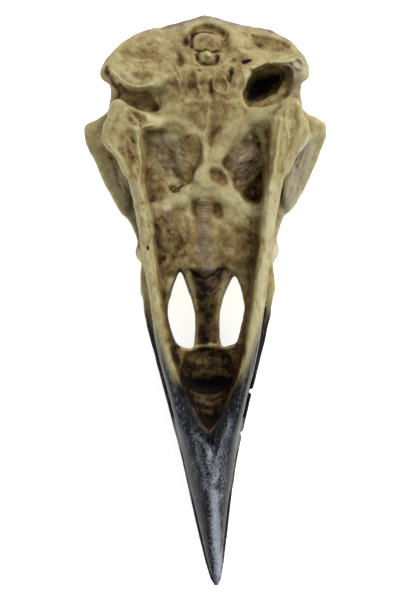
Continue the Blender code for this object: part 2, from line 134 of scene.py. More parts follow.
# The brow over the eye sockets, station by station: y, half width, brim z, crest z
BROW = (
    (30.0, 14.6, -6.9, -20.6),
    (28.4, 17.2, -7.3, -21.0),
    (26.8, 19.1, -7.9, -21.2),
    (25.0, 18.6, -8.7, -21.0),
    (20.6, 17.0, -9.8, -19.9),
    (15.7, 14.3, -10.0, -17.6),
    (11.0, 12.0, -9.3, -14.9),
    (6.6, 10.7, -8.0, -12.2),
    (3.0, 10.5, -6.8, -11.8),
)

# The inner wall of the mouth, station by station: y, foot x and z, and top x and z
MOUTH_WALL = (
    (28.0, 10.2, 0.6, 10.9, 4.6),
    (22.0, 9.9, -1.6, 10.5, 6.2),
    (16.0, 9.3, -1.6, 9.7, 6.6),
    (12.0, 8.3, 0.2, 8.9, 6.8),
    (5.0, 7.2, 0.0, 8.0, 7.0),
    (0.0, 6.3, -1.5, 7.3, 7.0),
    (-5.0, 5.5, -2.2, 6.5, 6.8),
    (-10.0, 4.4, -2.6, 5.4, 6.3),
    (-15.0, 3.0, -3.4, 4.1, 5.8),
    (-19.0, 1.2, -3.2, 1.8, 5.4),
    (-21.5, 0.1, -2.6, 0.4, 5.0),
)

# How high the mouth's floor lies along its middle, y and z, and half its outline from the throat side
MOUTH_FLOOR = (
    (34.0, 1.6), (30.0, 1.5), (26.0, 1.2), (20.0, 0.9), (14.0, 0.3), (8.0, 0.0), (4.9, -0.3),
    (1.5, -1.3), (-2.0, -2.3), (-6.0, -2.7), (-7.3, -2.3), (-7.8, -1.6), (-9.6, -1.8),
    (-11.9, -2.6), (-13.9, -4.6), (-15.2, -3.6), (-18.0, -2.6), (-23.0, -1.8),
)
MOUTH_OUTLINE = (
    (0.0, 33.0), (7.0, 32.0), (10.4, 28.6), (11.0, 22.0), (10.2, 15.0), (9.4, 8.0),
    (8.2, 0.0), (7.0, -8.0), (5.0, -15.0), (2.4, -20.5), (0.0, -22.5),
)

# The shield that faces the neck: half its outline, seen square on to the throat side
SHIELD = (
    (0.0, 45.7), (2.2, 45.0), (4.8, 43.9), (8.2, 43.3), (11.0, 42.1), (13.3, 40.2),
    (14.9, 38.0), (15.9, 36.0), (15.0, 34.6), (10.0, 33.6), (0.0, 33.6),
)
SHIELD_THICKNESS = 3.2
SHIELD_SLOPE = 43.0
SHIELD_CENTRE = (-0.2, 40.0, -4.9)

# The openings right through the bill's root, seen from the throat side: the left one is a little larger
NOSTRIL_WELLS = {
    "left": (
        (-4.3, 5.0), (-5.4, 2.9), (-6.1, 0.6), (-6.4, -1.7), (-6.1, -4.0), (-5.4, -6.2), (-4.6, -7.3),
        (-3.5, -7.7), (-2.3, -7.6), (-1.95, -5.1), (-2.05, -2.3), (-2.5, 0.4), (-3.3, 2.8),
    ),
    "right": (
        (4.4, 4.0), (5.2, 2.3), (5.7, 0.3), (5.8, -1.9), (5.3, -4.3), (4.7, -6.7),
        (3.6, -7.4), (2.2, -7.5), (1.8, -4.9), (1.9, -2.0), (2.4, 0.3), (3.3, 2.4),
    ),
}

# The rear of a jaw branch, broad and flat behind its joint: the +X one's outline
JAW_HEEL = (
    (14.2, 31.2), (15.5, 28.4), (16.3, 26.0), (15.9, 24.3), (14.2, 22.2), (12.7, 19.6),
    (10.6, 19.6), (10.6, 22.8), (10.5, 26.0), (10.9, 28.2), (12.6, 30.4),
)

# The plate behind the eye socket, from the waist out to the corner of the brow: the +X one
BROW_CORNER = (
    (13.0, 32.2), (15.0, 30.4), (16.8, 29.4), (18.6, 28.5), (19.3, 28.0), (19.4, 26.8), (18.8, 24.7),
    (17.2, 21.0), (15.0, 16.8), (13.4, 14.6), (12.4, 16.0), (12.0, 22.0), (12.0, 30.0),
)

# The fork of the lower jaw, seen from the throat side: where the mouth shows between its branches
FORK = (
    (-8.6, 9.7), (-7.9, 2.7), (-7.0, -0.9), (-5.9, -6.4), (-5.1, -10.8), (-4.3, -14.1),
    (-2.9, -17.5), (-1.2, -19.9), (0.0, -21.3), (1.5, -20.4), (2.9, -18.2), (4.2, -15.6),
    (5.1, -11.8), (5.8, -8.2), (6.4, -4.6), (6.8, 2.6), (8.1, 9.5),
)

# The two pits behind the crossed ridges, the deep corner of the right one and the hollow beside it
LEFT_PIT = (
    (-9.8, 26.5), (-7.8, 27.0), (-5.1, 26.5), (-3.0, 25.9), (-1.2, 25.8), (-0.5, 24.5), (-0.8, 22.1),
    (-1.9, 19.5), (-3.3, 17.9), (-5.2, 16.9), (-7.4, 15.7), (-8.7, 14.6), (-9.6, 15.2), (-10.2, 17.6),
    (-10.4, 21.0),
)
RIGHT_PIT = (
    (6.5, 25.8), (7.8, 26.3), (8.9, 24.7), (9.3, 22.0), (9.4, 19.3), (8.7, 15.2), (7.4, 14.9), (5.9, 15.7),
    (4.3, 17.8), (3.5, 19.4), (2.5, 21.3), (3.0, 22.3), (4.9, 24.2),
)
RIGHT_PIT_DEEP = ((9.3, 22.4), (9.4, 18.5), (8.8, 15.0), (7.1, 14.8), (5.4, 16.2), (7.0, 18.2), (8.4, 20.4))
SMALL_HOLLOW = (
    (0.4, 20.2), (1.2, 20.7), (2.5, 20.1), (3.6, 18.8), (3.5, 17.8), (2.2, 17.9), (0.9, 18.5), (0.3, 19.4),
)

# The dip between the rough bone and the crossed ridges, and the two halves of the palate
VALLEY = ((-2.6, 30.6), (2.4, 30.8), (4.2, 29.8), (2.8, 27.4), (1.3, 24.6), (0.2, 24.0), (-0.9, 26.9))
PALATE_LEFT = ((-8.5, 12.6), (-8.0, 14.0), (-7.1, 15.0), (-5.0, 15.2), (-2.4, 13.4), (-2.2, 9),
               (-3.0, 4.9), (-7, 4))
PALATE_RIGHT = ((2.8, 13.6), (5.0, 14.2), (8.2, 13.4), (8.4, 6.0), (3.4, 5.6), (1.8, 9))

# The slender bone down the middle of the palate
VOMER = ((-1.5, 15.2), (-0.3, 16.0), (1.0, 15.2), (0.9, 11.0), (1.1, 4.8), (-1.7, 4.8), (-1.5, 11.0))

# Where the palate steps down to the bar between the nostril openings
NOSTRIL_STEP = (
    (-7.6, 3.4), (-4.3, 4.3), (-3.2, 4.8), (-2.4, 5.1), (-1.4, 4.6), (0.2, 4.2), (1.6, 4.7), (2.4, 5.2),
    (3.4, 4.8), (4.6, 3.9), (7.6, 3.2), (7.0, -8.4), (-7.0, -8.4),
)

# The folds across the front of the mouth: y, how far each bows forward, and its half width
FOLDS = ((-15.6, 1.1, 3.0), (-17.5, 0.7, 2.4), (-19.2, 0.4, 1.5))

# On the shield, the swelling on its left and the flap of bone on its right
LEFT_LOBE = (
    (-15.6, 37.6), (-14.2, 35.9), (-12.9, 34.7), (-11.0, 33.6), (-8.6, 32.9), (-7.1, 33.8),
    (-6.0, 36.2), (-5.2, 38.6), (-5.0, 41.0), (-6.4, 42.4), (-9.0, 42.8), (-12.6, 41.2),
)
RIGHT_FLAP = (
    (7.4, 36.1), (9.8, 36.6), (12.0, 36.9), (14.4, 37.0), (16.0, 37.2), (15.4, 39.0),
    (13.8, 41.0), (11.0, 42.4), (7.8, 43.0), (6.6, 41.0), (6.4, 38.2),
)

# Between the shield and the jaw's heels: the mouth of the deep cave on the right, and the left hollow
EAR_CAVE = (
    (7.7, 36.0), (10.3, 36.5), (13.4, 36.8), (14.0, 35.5), (13.7, 33.6), (13.2, 32.2), (11.4, 31.2),
    (9.2, 30.3), (6.9, 30.2), (6.2, 31.4), (6.9, 33.6),
)
EAR_HOLLOW = (
    (-13.6, 34.6), (-12.2, 33.7), (-10.3, 33.1), (-8.9, 32.6), (-8.0, 31.3), (-7.6, 30.1),
    (-9.2, 29.7), (-10.8, 29.8), (-12.6, 30.8), (-13.6, 32.6),
)

# The shallow dips between the outer rim and the inner crest of each heel
HEEL_DIP_LEFT = (
    (-12.6, 26.6), (-11.3, 26.2), (-11.2, 22.6), (-11.1, 18.6), (-11.9, 18.6), (-13.0, 21.2), (-14.3, 24.4),
)
HEEL_DIP_RIGHT = (
    (12.4, 28.4), (13.8, 29.0), (14.4, 27.0), (13.4, 24.4), (12.2, 21.4), (11.6, 18.8), (11.2, 20.6),
    (11.7, 24.8),
)

# Where the scraper has hatched the bone, three times over and once: from and to, how far across its
# strokes are strewn, which way they lean, how heavy they are, and the seed of their unevenness
HATCHED_THRICE = (
    ((-13.2, 25.2), (-11.6, 18.6), (1.7, 0.2), (0.42, -0.9), 0.6, 40),
    ((12.2, 28.6), (11.4, 20.6), (2.0, 0.5), (-0.25, -0.96), 0.3, 50),
    ((3.0, 11.4), (7.2, 8.4), (1.6, 0.8), (0.75, -0.66), 0.3, 60),
    ((-15.8, 24.0), (-11.4, 9.0), (1.2, 0.3), (0.35, -0.94), 0.5, 65),
    ((15.0, 24.0), (11.0, 9.0), (1.6, 0.3), (-0.35, -0.94), 0.5, 75),
    ((-9.4, 24.6), (-9.2, 17.0), (6.4, 0.6), (0.6, -0.5), 0.5, 100),
    ((8.6, 24.4), (8.2, 16.0), (-4.2, -0.6), (0.75, 0.5), 0.6, 110),
    ((-7.4, 14.0), (-6.4, 5.6), (4.4, 0.4), (0.5, -0.85), 0.4, 120),
    ((-13.0, 41.0), (-12.0, 36.6), (5.4, 0.6), (0.8, -0.6), 0.35, 130),
    ((-5.0, 35.6), (-4.4, 29.4), (9.0, 0.4), (0.5, -0.8), 0.4, 140),
)
HATCHED_ONCE = (
    ((-10.9, 25.4), (-10.6, 19.6), (0.2, 0.2), (0.1, -1.0), 0.8, 70),
    ((5.4, 23.6), (3.4, 20.2), (1.4, 0.6), (0.75, 0.6), 0.4, 80),
)

# The longer single scratches, and how heavy each is
SCRATCHES = (
    (((-6.4, 10.6), (-4.9, 11.0), (-4.1, 9.6), (-3.9, 8.6)), 0.6),
    (((-4.9, 7.0), (-4.2, 8.0), (-3.5, 7.2)), 0.5),
    (((-2.6, 4.7), (-1.6, 4.0), (-0.4, 3.3), (0.8, 3.9), (1.8, 4.8)), 1.0),
    (((-0.9, 2.2), (-0.4, 3.2)), 0.6),
    (((2.8, 8.2), (4.2, 8.0), (4.9, 6.9)), 0.4),
    (((3.2, 16.2), (4.4, 15.8), (5.2, 14.9)), 0.4),
    (((5.6, 13.6), (6.6, 12.6), (7.2, 11.6)), 0.7),
    (((-8.2, 24.2), (-7.6, 23.4), (-8.3, 22.6)), 0.4),
    (((5.0, 21.2), (6.6, 21.6), (7.8, 21.9)), 0.6),
    (((6.8, 20.2), (6.6, 18.4), (7.0, 16.6)), 0.6),
)

# How the hand has left the surface: the size of the lumps and their height, the seed, and the box that
# they lie in, or None for the whole cast
ROUGH_BONE_BOX = ((-5, 29, -3), (6, 38, 5))
LUMPS = ((3.4, 0.13, 1, None), (1.5, 0.12, 2, None), (0.8, 0.08, 3, None), (1.1, 0.15, 4, ROUGH_BONE_BOX))

# The same for the creases of pressed clay, on the shield, inside the mouth and on the heels
SHIELD_BOX = ((-14, 29.5, -14), (14, 42.4, 6))
MOUTH_BOX = ((-9.4, 4.6, -9), (9.4, 28, 3.5))
HEEL_BOX = ((-16, 12, 4), (16, 32, 9.5))
CREASES = (
    (2.6, 0.45, 6, SHIELD_BOX), (1.2, 0.28, 16, SHIELD_BOX),
    (2.6, 0.45, 7, MOUTH_BOX), (1.2, 0.28, 17, MOUTH_BOX), (0.9, 0.12, 26, HEEL_BOX),
)

# How wide about each place the painter looks for a crevice, and for a broad hollow, which get wash and
# painted shade
CREVICE_REACH = 0.5
HOLLOW_REACH, HOLLOW_BORDER = 2.2, 1.2

# Where the black of the bill ends, seen from the throat: half the width between the jaw's crests at each
# y, how far beyond a crest the black starts, and how far back it reaches at each distance from the middle
CREST_HALF_WIDTH = (
    (-21, 0.2), (-19.8, 1.1), (-15.6, 3.3), (-12, 4.9), (-8.3, 6.0), (-4.5, 6.9), (-1.1, 7.6), (2.2, 8.1),
    (5.3, 8.5), (10.6, 9.5),
)
BARE_BAND = ((-20, 0.06), (-15, 0.12), (-9, 0.26), (-5, 0.42), (2, 0.65), (10, 1.0))
BLACK_FROM_Y = ((5.5, -10.5), (6.5, -8.4), (7.5, -5.8), (8.5, -2.8), (9.5, 0.0))

# The bone coat under more and more of the brown wash and painted shade, and the same under the mauve, which
# is partly a glaze and partly painted shade
WASH_AND_SHADE_COLOURS = (
    (0.0, "b5ac84"), (0.2, "9d9164"), (0.42, "806c42"), (0.62, "604b2a"), (0.8, "402e16"), (0.92, "2a1d0d"),
    (1.0, "120b05"),
)
MAUVE_COLOURS = (
    (0.0, "b1a893"), (0.2, "988b78"), (0.42, "7b6b59"), (0.62, "5c4a39"), (0.8, "3c2c20"), (0.92, "271b12"),
    (1.0, "120c07"),
)

# The bill: black, dry-brushed with silver grey, which along the keel and at the tip is also a painted
# highlight, and satin
BILL_BLACK = "09090e"
BILL_SILVER_AND_HIGHLIGHT = "9ca1ae"
BILL_ROUGHNESS = 0.38

# The paint's patterns in millimetres: pools of wash, mottling, brush marks twice as long as wide, and a
# speckle that is really about 0.1 mm and is drawn coarser here so that it shows
POOL_SIZE = 3.03
MOTTLE_SIZE = 1.6667
BRUSH_MARK_WIDTH = 0.66667
BRUSH_MARK_STRETCH = (1, 0.5, 1)
SPECKLE_SIZE = 0.3125

# Bristle marks on the bill, six times as long as wide, and coarser than a brush's real 0.1 mm
BRISTLE_WIDTH = 0.1923
BRISTLE_STRETCH = (1, 0.16, 1)

# How deep the mottling is pressed into the surface, and the brush marks into the paint
PRESSED_DEPTH = 0.2
BRUSHED_DEPTH = 0.12


# ---------------------------------------------------------------- measuring


def smooth_step(low, high, value):
    t = np.clip((value - low) / (high - low), 0, 1)
    return t * t * (3 - 2 * t)


def soft_least(one, other, melt):
    """The smaller of two distances, with the crease between their shapes filled by the melt."""
    near = np.maximum(melt - np.abs(one - other), 0) / melt
    return np.minimum(one, other) - near * near * melt / 4


def soft_most(one, other, melt):
    return -soft_least(-one, -other, melt)


def smooth_path(points, pieces=5):
    """The points, and more between them, on a Catmull-Rom curve; any number of columns."""
    rows = np.array(points, float)
    found = []
    for i in range(len(rows) - 1):
        p0, p1, p2, p3 = (rows[max(0, min(len(rows) - 1, k))] for k in (i - 1, i, i + 1, i + 2))
        for t in np.arange(pieces) / pieces:
            found.append(
                0.5 * (2 * p1 + (p2 - p0) * t + (2 * p0 - 5 * p1 + 4 * p2 - p3) * t * t
                       + (3 * p1 - p0 - 3 * p2 + p3) * t ** 3)
            )
    return np.array([*found, rows[-1]])


def rounded_outline(points):
    """A closed smooth outline through the points."""
    pieces = 4
    ring = [*points[-2:], *points, *points[:2]]
    return smooth_path(ring, pieces)[2 * pieces : -pieces - 1]


def read_off(table, value):
    """The second column of a table where its first has this value, along straight runs."""
    return np.interp(value, *zip(*sorted(table)))


def along(stations, y):
    """The columns of a table of stations at each y, on the same smooth curve as the solids."""
    rows = np.array(stations, float)
    last = len(rows) - 1
    start = np.clip(np.searchsorted(-rows[:, 0], -y, side="right") - 1, 0, last - 1)
    t = np.clip((y - rows[start, 0]) / (rows[start + 1, 0] - rows[start, 0]), 0, 1)
    t = t[..., None]
    p0, p1 = rows[np.maximum(start - 1, 0), 1:], rows[start, 1:]
    p2, p3 = rows[start + 1, 1:], rows[np.minimum(start + 2, last), 1:]
    slope_1, slope_2 = (p2 - p0) / 2, (p3 - p1) / 2
    values = (
        p1 + t * slope_1 + t * t * (3 * (p2 - p1) - 2 * slope_1 - slope_2)
        + t ** 3 * (2 * (p1 - p2) + slope_1 + slope_2)
    )
    return [values[..., k].astype(np.float32) for k in range(values.shape[-1])]


def outline_distance(outline, x, y):
    """Distance to a closed flat outline, negative inside it."""
    x, y = np.broadcast_arrays(x, y)
    nearest = np.full(x.shape, FAR * FAR * 9, np.float32)
    inside = np.zeros(x.shape, bool)
    for (x0, y0), (x1, y1) in zip(outline, np.roll(outline, -1, axis=0)):
        run, rise = x1 - x0, y1 - y0
        if run == rise == 0:
            continue
        dx, dy = x - x0, y - y0
        t = np.clip((dx * run + dy * rise) / (run * run + rise * rise), 0, 1)
        nearest = np.minimum(nearest, (dx - t * run) ** 2 + (dy - t * rise) ** 2)
        if rise:
            inside ^= ((y0 <= y) != (y1 <= y)) & (dx < dy * (run / rise))
    distance = np.sqrt(nearest)
    return np.where(inside, -distance, distance)


def path_distance(path, x, y):
    """Distance from a flat path of short straight runs."""
    x, y = np.broadcast_arrays(x, y)
    nearest = np.full(x.shape, FAR * 3, np.float32)
    for one, other in zip(path, path[1:]):
        run, rise = other[:2] - one[:2]
        dx, dy = x - one[0], y - one[1]
        t = np.clip((dx * run + dy * rise) / (run * run + rise * rise + 1e-9), 0, 1)
        nearest = np.minimum(nearest, np.hypot(dx - t * run, dy - t * rise))
    return nearest


# ---------------------------------------------------------------- forms of clay


class Form:
    """A shape to add or to cut: the box it lies in, and its distance at any point."""

    def __init__(self, low, high, distance):
        self.low, self.high, self.distance = low, high, distance


def egg(centre, half_axes, tilt=0.0, turn=0.0):
    """A rounded mass, tipped about X and then turned about Z, in degrees."""
    spin = Matrix.Rotation(math.radians(turn), 3, "Z") @ Matrix.Rotation(math.radians(tilt), 3, "X")
    own_axes = np.array(spin).T
    reach = np.sqrt(((own_axes * np.array(half_axes)[:, None]) ** 2).sum(axis=0))
    longest = max(half_axes)

    def distance(x, y, z):
        offsets = [x - centre[0], y - centre[1], z - centre[2]]
        level = steep = 0
        for axis, half in zip(own_axes, half_axes):
            across = sum(float(a) * offset for a, offset in zip(axis, offsets))
            level = level + (across / half) ** 2
            steep = steep + (across / (half * half)) ** 2
        level = np.maximum(np.sqrt(level), 1e-3)
        return level * (level - 1) / np.maximum(np.sqrt(steep), 1e-3 / longest)

    return Form(np.array(centre) - reach, np.array(centre) + reach, distance)


def bar(points):
    """A slender bone along a smooth line; each point is x, y, z and the radius there."""
    path = smooth_path(points)
    radius = path[:, 3:4]

    def distance(x, y, z):
        nearest = FAR
        for one, other in zip(path, path[1:]):
            run = other[:3] - one[:3]
            dx, dy, dz = x - one[0], y - one[1], z - one[2]
            t = np.clip((dx * run[0] + dy * run[1] + dz * run[2]) / (run @ run + 1e-9), 0, 1)
            off = (dx - t * run[0]) ** 2 + (dy - t * run[1]) ** 2 + (dz - t * run[2]) ** 2
            nearest = np.minimum(nearest, np.sqrt(off) - one[3] - t * (other[3] - one[3]))
        return nearest

    return Form((path[:, :3] - radius).min(axis=0), (path[:, :3] + radius).max(axis=0), distance)


def oval_distance(u, v, half_u, half_v, fullness):
    """Distance to a rounded section; fullness 2 is an ellipse, and more is squarer."""
    a, b = np.abs(u) / half_u, np.abs(v) / half_v
    level = np.maximum((a**fullness + b**fullness) ** (1 / fullness), 1e-3)
    slope = np.hypot(a ** (fullness - 1) / half_u, b ** (fullness - 1) / half_v)
    slope = slope / level ** (fullness - 1)
    return (level - 1) / np.maximum(slope, 1e-3 / np.maximum(half_u, half_v))


def arch(stations, fullness, edge):
    """A vault from stations of y, half width, edge z and crest z, flat along its edge."""
    rows = np.array(stations)
    widest = rows[:, 1].max()
    low = (-widest, rows[:, 0].min(), rows[:, 2:].min())
    high = (widest, rows[:, 0].max(), rows[:, 2:].max())
    crest_up = rows[0, 3] > rows[0, 2]

    def distance(x, y, z):
        half, edge_z, crest_z = (column[None, :, None] for column in along(stations, y[0, :, 0]))
        off_edge = (z - edge_z) if crest_up else (edge_z - z)
        height = np.maximum(np.abs(crest_z - edge_z), 0.1)
        vault = oval_distance(x, np.maximum(off_edge, 0), np.maximum(half, 0.1), height, fullness)
        closed = soft_most(vault, -off_edge, edge)
        return np.maximum(closed, np.maximum(rows[-1, 0] - y, y - rows[0, 0]))

    return Form(low, high, distance)


def branch(stations, side):
    """One branch of the lower jaw, an oval beam with its middle at varying distance."""
    fullness = 2.5
    rows = np.array(stations)
    far, near = rows[:, 1].max(), rows[:, 2].min()
    xs = sorted((side * far, side * near))
    low = (xs[0], rows[:, 0].min(), rows[:, 3].min())
    high = (xs[1], rows[:, 0].max(), rows[:, 4].max())

    def distance(x, y, z):
        outer, inner, gape, throat = (c[None, :, None] for c in along(stations, y[0, :, 0]))
        across = x - side * (outer + inner) / 2
        up = z - (gape + throat) / 2
        oval = oval_distance(across, up, (outer - inner) / 2, (throat - gape) / 2, fullness)
        return np.maximum(oval, np.maximum(rows[-1, 0] - y, y - rows[0, 0]))

    return Form(low, high, distance)


def slab(outline, thickness, centre, slope, rounding):
    """A plate from its outline, seen from the throat side and tilted about X by the slope."""
    sine, cosine = math.sin(math.radians(slope)), math.cos(math.radians(slope))
    flat = rounded_outline([(x, (y - centre[1]) / cosine) for x, y in outline])
    xs, ys = zip(*outline)
    drop = (max(ys) - min(ys)) * abs(sine) / cosine + thickness
    low = (min(xs) - 1, min(ys) - thickness, centre[2] - drop)
    high = (max(xs) + 1, max(ys) + thickness, centre[2] + drop)

    def distance(x, y, z):
        height = (y - centre[1]) * sine + (z - centre[2]) * cosine
        run = (y - centre[1]) * cosine - (z - centre[2]) * sine
        rim = outline_distance(flat, x, run)
        return soft_most(rim, np.abs(height) - thickness / 2, rounding)

    return Form(low, high, distance)


def upright(outline, z_low, z_high, rounding):
    """A straight-sided block or hole from its outline seen from the throat side."""
    ring = rounded_outline(outline)
    low, high = (*ring.min(axis=0), z_low), (*ring.max(axis=0), z_high)

    def distance(x, y, z):
        rim = outline_distance(ring, x, y)
        return soft_most(rim, np.maximum(z_low - z, z - z_high), rounding)

    return Form(low, high, distance)


def mouth_wall(side):
    """The wall of the mouth from the palate up to the jaw branch, filled in solid by the casting."""
    rows = np.array(MOUTH_WALL)
    floor_z, lowest_z, room, inside_jaw = -1.9, -5, 3, 1.2
    reach = sorted((0, side * (rows[:, 3].max() + room)))
    low = (reach[0], rows[:, 0].min(), lowest_z)
    high = (reach[1], rows[:, 0].max(), rows[:, 4].max())

    def distance(x, y, z):
        foot_x, foot_z, top_x, top_z = (c[None, :, None] for c in along(MOUTH_WALL, y[0, :, 0]))
        outer = along(LOWER_JAW, y[0, :, 0])[0][None, :, None]
        lean = np.hypot(top_x - foot_x, top_z - foot_z)
        face = ((z - foot_z) * (top_x - foot_x) - (side * x - foot_x) * (top_z - foot_z)) / lean
        back = side * x - outer + inside_jaw
        ends = np.maximum(rows[-1, 0] - y, y - rows[0, 0])
        under = np.maximum(np.minimum(foot_z, floor_z) - z, z - top_z)
        return np.maximum(np.maximum(face, back), np.maximum(ends, under))

    return Form(low, high, distance)


def mirrored(points, side):
    return [(side * x, *rest) for x, *rest in points]


def both_halves(outline):
    """A whole outline from its +X half."""
    return [*outline, *((-x, y) for x, y in reversed(outline) if x > 0)]


def modelled_floor(relief, outline, depth):
    """A block under a modelled surface, as deep as given at each point below that surface."""
    ring = rounded_outline(outline)
    top = relief.amount
    slope_x, slope_y = np.gradient(top, GRAIN)
    upright_share = 1 / np.sqrt(1 + slope_x**2 + slope_y**2)
    low = (*ring.min(axis=0), float((top - depth).min()))
    high = (*ring.max(axis=0), float(top.max()))

    def distance(x, y, z):
        rows = np.searchsorted(relief.x, x.ravel())
        columns = np.searchsorted(relief.y, y.ravel())
        here = np.ix_(rows, columns)
        share = upright_share[here][:, :, None]
        above = (z - top[here][:, :, None]) * share
        below = ((top - depth)[here][:, :, None] - z) * share
        return np.maximum(np.maximum(above, below), outline_distance(ring, x, y))

    return Form(low, high, distance)


class Clay:
    """A grid of distances to the surface, in millimetres: negative inside the clay."""

    def __init__(self):
        counts = [int((high - low) / GRAIN) + 2 for low, high in zip(CLAY_LOW, CLAY_HIGH)]
        self.axes = [
            (low + GRAIN * np.arange(count)).astype(np.float32)
            for low, count in zip(CLAY_LOW, counts)
        ]
        self.field = np.full(counts, FAR, np.float32)

    def window(self, low, high, margin=0.0):
        """The cells inside a box, and their coordinates."""
        spans = [
            slice(*np.searchsorted(axis, (start - margin, stop + margin)))
            for axis, start, stop in zip(self.axes, low, high)
        ]
        x, y, z = (axis[span] for axis, span in zip(self.axes, spans))
        return tuple(spans), x[:, None, None], y[None, :, None], z[None, None, :]

    def add(self, form, melt):
        cells, x, y, z = self.window(form.low, form.high, melt + 2 * GRAIN)
        self.field[cells] = soft_least(self.field[cells], form.distance(x, y, z), melt)

    def cut(self, form, melt):
        cells, x, y, z = self.window(form.low, form.high, melt + 2 * GRAIN)
        self.field[cells] = soft_most(self.field[cells], -form.distance(x, y, z), melt)

    def draw(self, relief, z_low, z_high, fade=1.5):
        """Raises and lowers the faces that look to the throat, between two levels."""
        cells, x, y, z = self.window((*CLAY_LOW[:2], z_low), (*CLAY_HIGH[:2], z_high), fade)
        part = self.field[cells]
        steep, level_enough = 0.15, 0.6
        facing = smooth_step(steep, level_enough, np.gradient(part, GRAIN, axis=2))
        level = smooth_step(z_low - fade, z_low, z) * (1 - smooth_step(z_high, z_high + fade, z))
        self.field[cells] = part - relief.amount[:, :, None] * facing * level

    def crumple(self, size, height, seed, where):
        """Creases like those of pressed clay between lumps of about that size, inside one box."""
        crease_level, border = 0.35, 1.5
        cells, *axes = self.window(*where)
        lumps = np.abs(wander(axes, size, seed)) - crease_level
        self.field[cells] -= faded(lumps, where, axes, border) * height

    def roughen(self, size, height, seed, where):
        """Lumps of about that size, as a thumb leaves them, fainter on the bill, or in one box."""
        border, share_on_bill = 2, 0.15
        cells, *axes = self.window(*(where or (CLAY_LOW, CLAY_HIGH)))
        lumps = wander(axes, size, seed) * height
        if where:
            lumps = faded(lumps, where, axes, border)
        behind_bill = smooth_step(*BILL_SMOOTHS_Y, axes[1])
        self.field[cells] -= lumps * (share_on_bill + (1 - share_on_bill) * behind_bill)


def faded(lumps, where, axes, border):
    """The lumps, dying away to nothing at the faces of a box."""
    for a, start, stop in zip(axes, *where):
        lumps = lumps * smooth_step(start, start + border, a) * (1 - smooth_step(stop - border, stop, a))
    return lumps


def wander(axes, size, seed):
    """Smooth random values between about -1 and 1 over a grid, with lumps of the given size."""
    weights = []
    for axis in map(np.ravel, axes):
        knots = np.arange(axis[0] / size - 2, axis[-1] / size + 3)
        off = np.abs(axis[:, None] / size - knots[None, :])
        near = 2 / 3 - off**2 + off**3 / 2
        weights.append(np.where(off < 1, near, np.maximum(2 - off, 0) ** 3 / 6).astype(np.float32))
    counts = [w.shape[1] for w in weights]
    chance = np.random.default_rng(seed).uniform(-2, 2, counts).astype(np.float32)
    for weight in reversed(weights):
        chance = np.tensordot(weight, chance, axes=(1, 2))
    return chance


class Drawing:
    """Lines and patches drawn over the skull seen from the throat: heights in mm, or paint.

    The hand that draws them wavers a little, so no line is quite straight or even.
    """

    def __init__(self, clay, waver, seed):
        self.x, self.y = clay.axes[0], clay.axes[1]
        self.amount = np.zeros((len(self.x), len(self.y)), np.float32)
        one_layer = np.zeros(1, np.float32)
        self.shift_x, self.shift_y = (
            waver * wander((self.x, self.y, one_layer), WAVER_LENGTH, seed + k)[:, :, 0] for k in (0, 1)
        )

    def window(self, low, high, margin):
        """The cells round a box, with room for the waver, and their coordinates as the hand has them."""
        room = margin + 0.5
        spans = tuple(
            slice(*np.searchsorted(axis, (start - room, stop + room)))
            for axis, start, stop in zip((self.x, self.y), low, high)
        )
        x = self.x[spans[0]][:, None] + self.shift_x[spans]
        y = self.y[spans[1]][None, :] + self.shift_y[spans]
        return spans, x, y

    def line(self, points, width, amount):
        """A rounded line, its width at its foot: a ridge, a groove below 0, or a stroke of paint."""
        path = smooth_path(points) if len(points) > 2 else np.array(points, float)
        half = width / 2
        cells, x, y = self.window(path.min(axis=0), path.max(axis=0), half)
        off = np.clip(path_distance(path, x, y) / half, 0, 1)
        self.amount[cells] += amount * (1 - off * off) ** 2

    def lines(self, *strokes):
        """Several lines, each with its width and its amount."""
        for points, width, amount in strokes:
            self.line(points, width, amount)

    def patch(self, outline, amount, soft):
        """A raised, sunken or painted patch inside its outline, with a border as soft as given."""
        ring = rounded_outline(outline)
        cells, x, y = self.window(ring.min(axis=0), ring.max(axis=0), soft)
        edge = outline_distance(ring, x, y)
        self.amount[cells] += amount * (1 - smooth_step(-soft, soft * 0.3, edge))

    def patches(self, *touches):
        """Several patches, each with its amount and the softness of its border."""
        for outline, amount, soft in touches:
            self.patch(outline, amount, soft)

    def dab(self, x, y, size, amount):
        """A round touch of the tool or the brush."""
        self.line(((x, y), (x + 0.01, y)), size, amount)

    def soften(self, size):
        """Smooths all that is drawn so far."""
        self.amount = box_blur(self.amount[:, :, None], max(1, round(size / GRAIN / 2)))[:, :, 0]

    def at(self, places):
        """The drawing's value straight above or below each place."""
        ats = (places[:, :2] - np.array([self.x[0], self.y[0]])) / GRAIN
        cell = np.clip(ats.astype(int), 0, np.array(self.amount.shape) - 2)
        t = np.clip(ats - cell, 0, 1)
        value = 0
        for a, b in ((0, 0), (0, 1), (1, 0), (1, 1)):
            share = np.where(a, t[:, 0], 1 - t[:, 0]) * np.where(b, t[:, 1], 1 - t[:, 1])
            value = value + share * self.amount[cell[:, 0] + a, cell[:, 1] + b]
        return value


# ---------------------------------------------------------------- sculpting the skull


